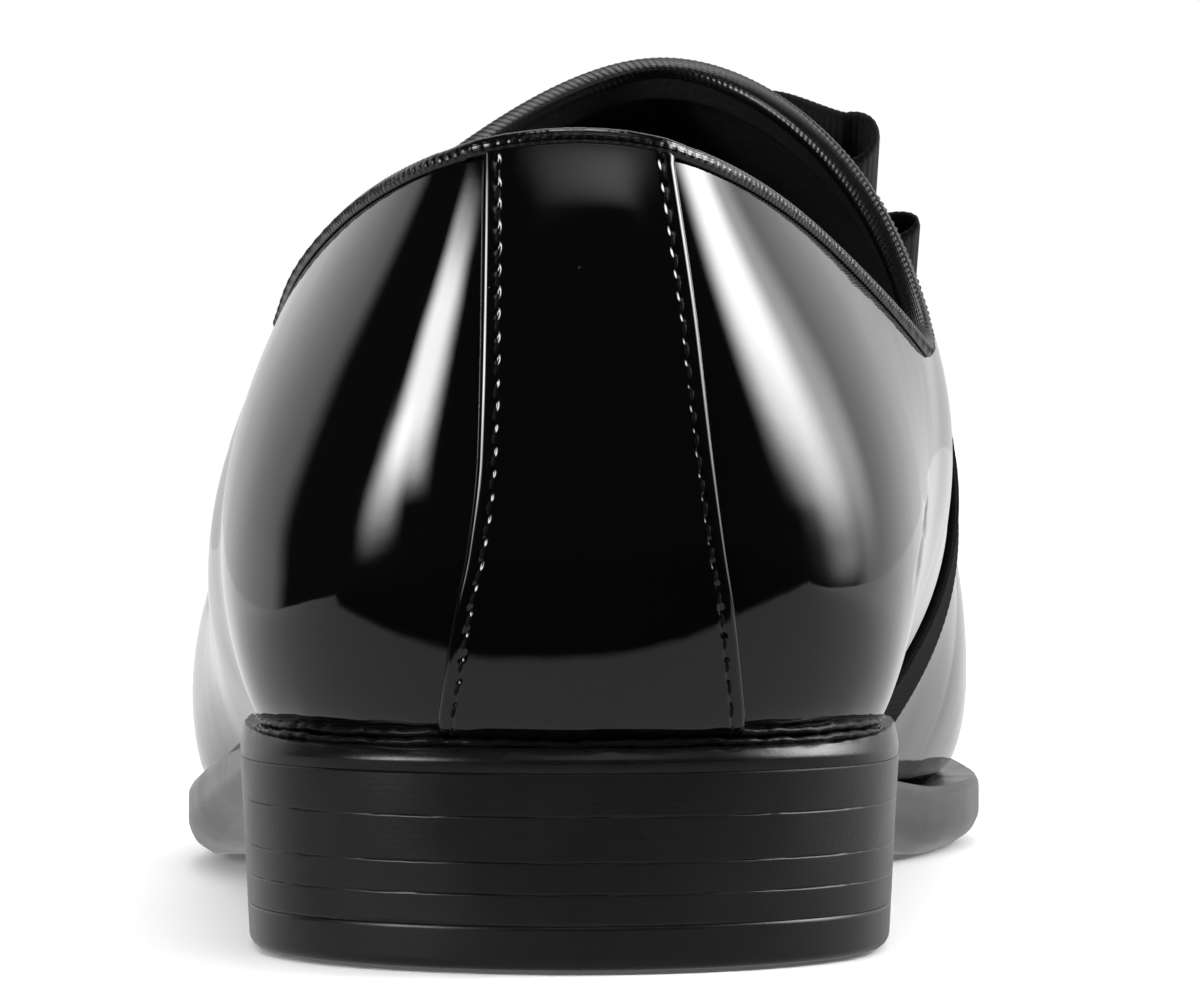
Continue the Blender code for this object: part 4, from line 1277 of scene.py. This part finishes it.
def mottled_look(name, scale, detail, tones, rough, gloss=0.5, deep=0.0):
    """Plain material between two grey tones and two roughnesses, with small lumps if deep."""
    look, add, join, place = new_look(name, grey(tones[1]), rough[0], {"Specular IOR Level": gloss})
    mottle = noise(add, place, Scale=scale, Detail=detail)
    join(two_tone(add, mottle, grey(tones[0]), grey(tones[1])), "Base Color")
    join(spread(add, mottle, *rough), "Roughness")
    if deep:
        join(bumps(add, (mottle, deep)), "Normal")
    return look


def thread_look():
    """Waxed black sewing thread with a fine twist."""
    return mottled_look("waxed_thread", scale=5200.0, detail=2.0, tones=(0.0012, 0.006), rough=(0.4, 0.4),
                        gloss=0.05, deep=0.00006)


def glue_look():
    """Dried black cement: lumpy, with an uneven gloss."""
    return mottled_look("black_cement", scale=800.0, detail=3.0, tones=(0.001, 0.004), rough=(0.15, 0.45),
                        gloss=0.08, deep=0.00008)


def floor_look():
    """Pale studio floor with the faintest unevenness."""
    return mottled_look("pale_floor", scale=3.0, detail=3.0, tones=(0.88, 0.93), rough=(0.55, 0.7))


def glow_look(name, clear=False):
    """Material that only shines, over what lies behind it if clear, and short cuts to its brightness."""
    look, tree, add = new_tree(name)
    tree.nodes.clear()
    out = add("ShaderNodeOutputMaterial")
    glow = add("ShaderNodeEmission")
    shown = glow
    if clear:
        behind = add("ShaderNodeBsdfTransparent")
        shown = add("ShaderNodeAddShader", [(glow.outputs[0], 0), (behind.outputs[0], 1)])
    tree.links.new(shown.outputs[0], out.inputs["Surface"])

    def join(source):
        tree.links.new(source, glow.inputs["Strength"])
    return look, add, join


def parts_of(add, place):
    """Parts of a place along the three axes."""
    return add("ShaderNodeSeparateXYZ", [(place, 0)]).outputs


def softbox_look(name, strength, fade):
    """Softbox that is brightest in its middle and fades towards its edges."""
    look, add, join = glow_look(name, clear=True)
    parts = parts_of(add, add("ShaderNodeTexCoord").outputs["Generated"])
    levels = []
    for axis in ("X", "Y"):
        edge = maths(add, "PINGPONG", parts[axis], 0.5)
        levels.append(spread(add, edge, 0.0, strength ** 0.5, 0.0, fade, "SMOOTHSTEP"))
    join(maths(add, "MULTIPLY", *levels))
    return look


def tent_look():
    """Surroundings: white beyond the toe, nearly black behind the camera and at the sides."""
    look, add, join = glow_look("tent")
    place = add("ShaderNodeTexCoord").outputs["Object"]
    way = add("ShaderNodeVectorMath", [(place, 0)], operation="NORMALIZE").outputs["Vector"]
    join(spread(add, parts_of(add, way)["Y"], TENT_DARK, TENT_LIGHT, *TENT_EDGE, "SMOOTHSTEP"))
    return look


def floor_gloss_look():
    """The floor as the gloss sees it: paler towards the toe, black from a slanted line behind the heel."""
    look, add, join = glow_look("floor_gloss")
    parts = parts_of(add, add("ShaderNodeTexCoord").outputs["Object"])
    slant = spread(add, parts["X"], FLOOR_SLANT, 0.0, FLOOR_TURN, 0.0)
    behind = maths(add, "SUBTRACT", parts["Y"], slant)
    edge = spread(add, behind, 0.0, 1.0, FLOOR_END - FLOOR_BLUR, FLOOR_END + FLOOR_BLUR, "SMOOTHSTEP")
    paler = spread(add, parts["Y"], *FLOOR_GLOSS, FLOOR_END, FLOOR_PALEST, "SMOOTHSTEP")
    join(maths(add, "MULTIPLY", edge, paler))
    return look


def set_piece(name, points, faces, look):
    """Piece of the set, which is no part of the shoe."""
    mesh = bpy.data.meshes.new(name)
    mesh.from_pydata(points, [], faces)
    mesh.materials.append(look)
    made = linked(name, mesh)
    return made


def staged(name, points, faces, look):
    """Piece of the set that lights or darkens the shoe without showing in the picture itself."""
    made = set_piece(name, points, faces, look)
    made.visible_camera = False
    made.visible_shadow = False
    made.visible_transmission = False
    return made


def sheet_corners(left, right, low, high):
    """Corners and face of a flat rectangle."""
    return [(left, low, 0), (right, low, 0), (right, high, 0), (left, high, 0)], [(0, 1, 2, 3)]


def panel(name, centre, toward, wide, high, strength, fade):
    """Flat softbox that faces a point."""
    corners, face = sheet_corners(-wide / 2.0, wide / 2.0, -high / 2.0, high / 2.0)
    made = staged(name, corners, face, softbox_look(name, strength, fade))
    made.location = centre
    made.rotation_euler = (Vector(toward) - Vector(centre)).to_track_quat("Z", "Y").to_euler()


def build_tent():
    """Dome round the whole set."""
    shape = bmesh.new()
    bmesh.ops.create_uvsphere(shape, u_segments=48, v_segments=24, radius=TENT_SIZE)
    points = [tuple(v.co) for v in shape.verts]
    faces = [[v.index for v in f.verts] for f in shape.faces]
    shape.free()
    staged("tent", points, faces, tent_look())


def build_floor():
    """Pale floor that the camera sees and the gloss doesn't."""
    floor = set_piece("floor", *sheet_corners(-FLOOR_FAR, FLOOR_FAR, -FLOOR_FAR, FLOOR_FAR), floor_look())
    floor.location.z = -2.0 * FLOOR_DROP
    floor.visible_glossy = False


def build_floor_gloss():
    """Floor that only the gloss sees, just above the pale one."""
    corners, face = sheet_corners(FLOOR_SIDE, FLOOR_FAR, -FLOOR_FAR, FLOOR_FAR)
    gloss = staged("floor_gloss", corners, face, floor_gloss_look())
    gloss.location.z = -FLOOR_DROP
    gloss.visible_diffuse = False


def build_stage():
    """Floor, white background, tent, soft panels round the shoe and above it, and a broad fill light."""
    build_floor()
    world = bpy.data.worlds.new("white_studio")
    world.use_nodes = True
    world.node_tree.nodes["Background"].inputs["Color"].default_value = (1.0, 1.0, 1.0, 1.0)
    bpy.context.scene.world = world
    build_tent()
    for name, turn, away, middle, wide, high, power, fade in PANELS:
        around = math.radians(turn)
        centre = (away * math.sin(around), -away * math.cos(around), middle)
        panel(name, centre, HEEL_SPOT, wide, high, power, fade)
    panel("softbox_top", TOP_SPOT, (0.0, 0.0, 0.0), *TOP_PANEL, strength=6.0, fade=0.3)
    build_floor_gloss()
    fill = bpy.data.lights.new("floor_fill", "SUN")
    fill.energy = FILL_POWER
    fill.angle = math.radians(FILL_SPREAD)
    lamp = linked("floor_fill", fill)
    lamp.visible_glossy = False


def build_camera():
    """Long lens behind the heel, a little above it, as in the photograph."""
    data = bpy.data.cameras.new("camera")
    data.lens = LENS
    data.sensor_width = PICTURE
    data.clip_start, data.clip_end = CLIP
    camera = linked("camera", data)
    camera.location = tuple((EYE + SEAT) * MM)
    camera.rotation_euler = Vector(AIM).to_track_quat("-Z", "Y").to_euler()
    bpy.context.scene.camera = camera


def build_shoe():
    """Every visible piece of the slipper."""
    patent = patent_look("black_patent")
    strip = patent_look("black_patent_strip")
    lining = leather_look("dark_lining", LINING_BLACK, roughness=0.65, scale=900.0)
    build_upper(patent, lining)
    grid = strip_grid()
    build_back_strip(strip, grid)
    build_strip_stitches(thread_look(), grid)
    build_binding(binding_look(), leather_look("collar_lining", LINING_BLACK, roughness=0.55, scale=1100.0))
    band = ribbon_look("band_grosgrain", BOW_BLACK, 0.75, sheen=0.0, gloss=0.06, grain=0.00004)[0]
    build_band(band)
    bow = ribbon_look("bow_grosgrain", BOW_BLACK, 0.7, sheen=0.03, gloss=0.2, grain=0.00004)[0]
    build_loops("bow_lower_ribbon", LOWER_LOOPS, bow, "bow_lower")
    build_loops("bow_upper_ribbon", UPPER_LOOPS, bow, "bow_upper")
    build_knot(bow)
    build_outsole(rubber_look("sole_edge_rubber", low=0.20, high=0.32, lines=0.00002))
    stack, tip = (rubber_look(name, low=0.26, high=0.36, lines=0.00001)
                  for name in ("heel_stack_rubber", "heel_tip_rubber"))
    build_heel(stack, tip)
    build_insole(leather_look("footbed_leather", FOOTBED_BLACK, roughness=0.62, scale=700.0))
    build_seat_glue(glue_look())


build_shoe()
build_stage()
build_camera()
bpy.context.scene.view_settings.view_transform = "Standard"
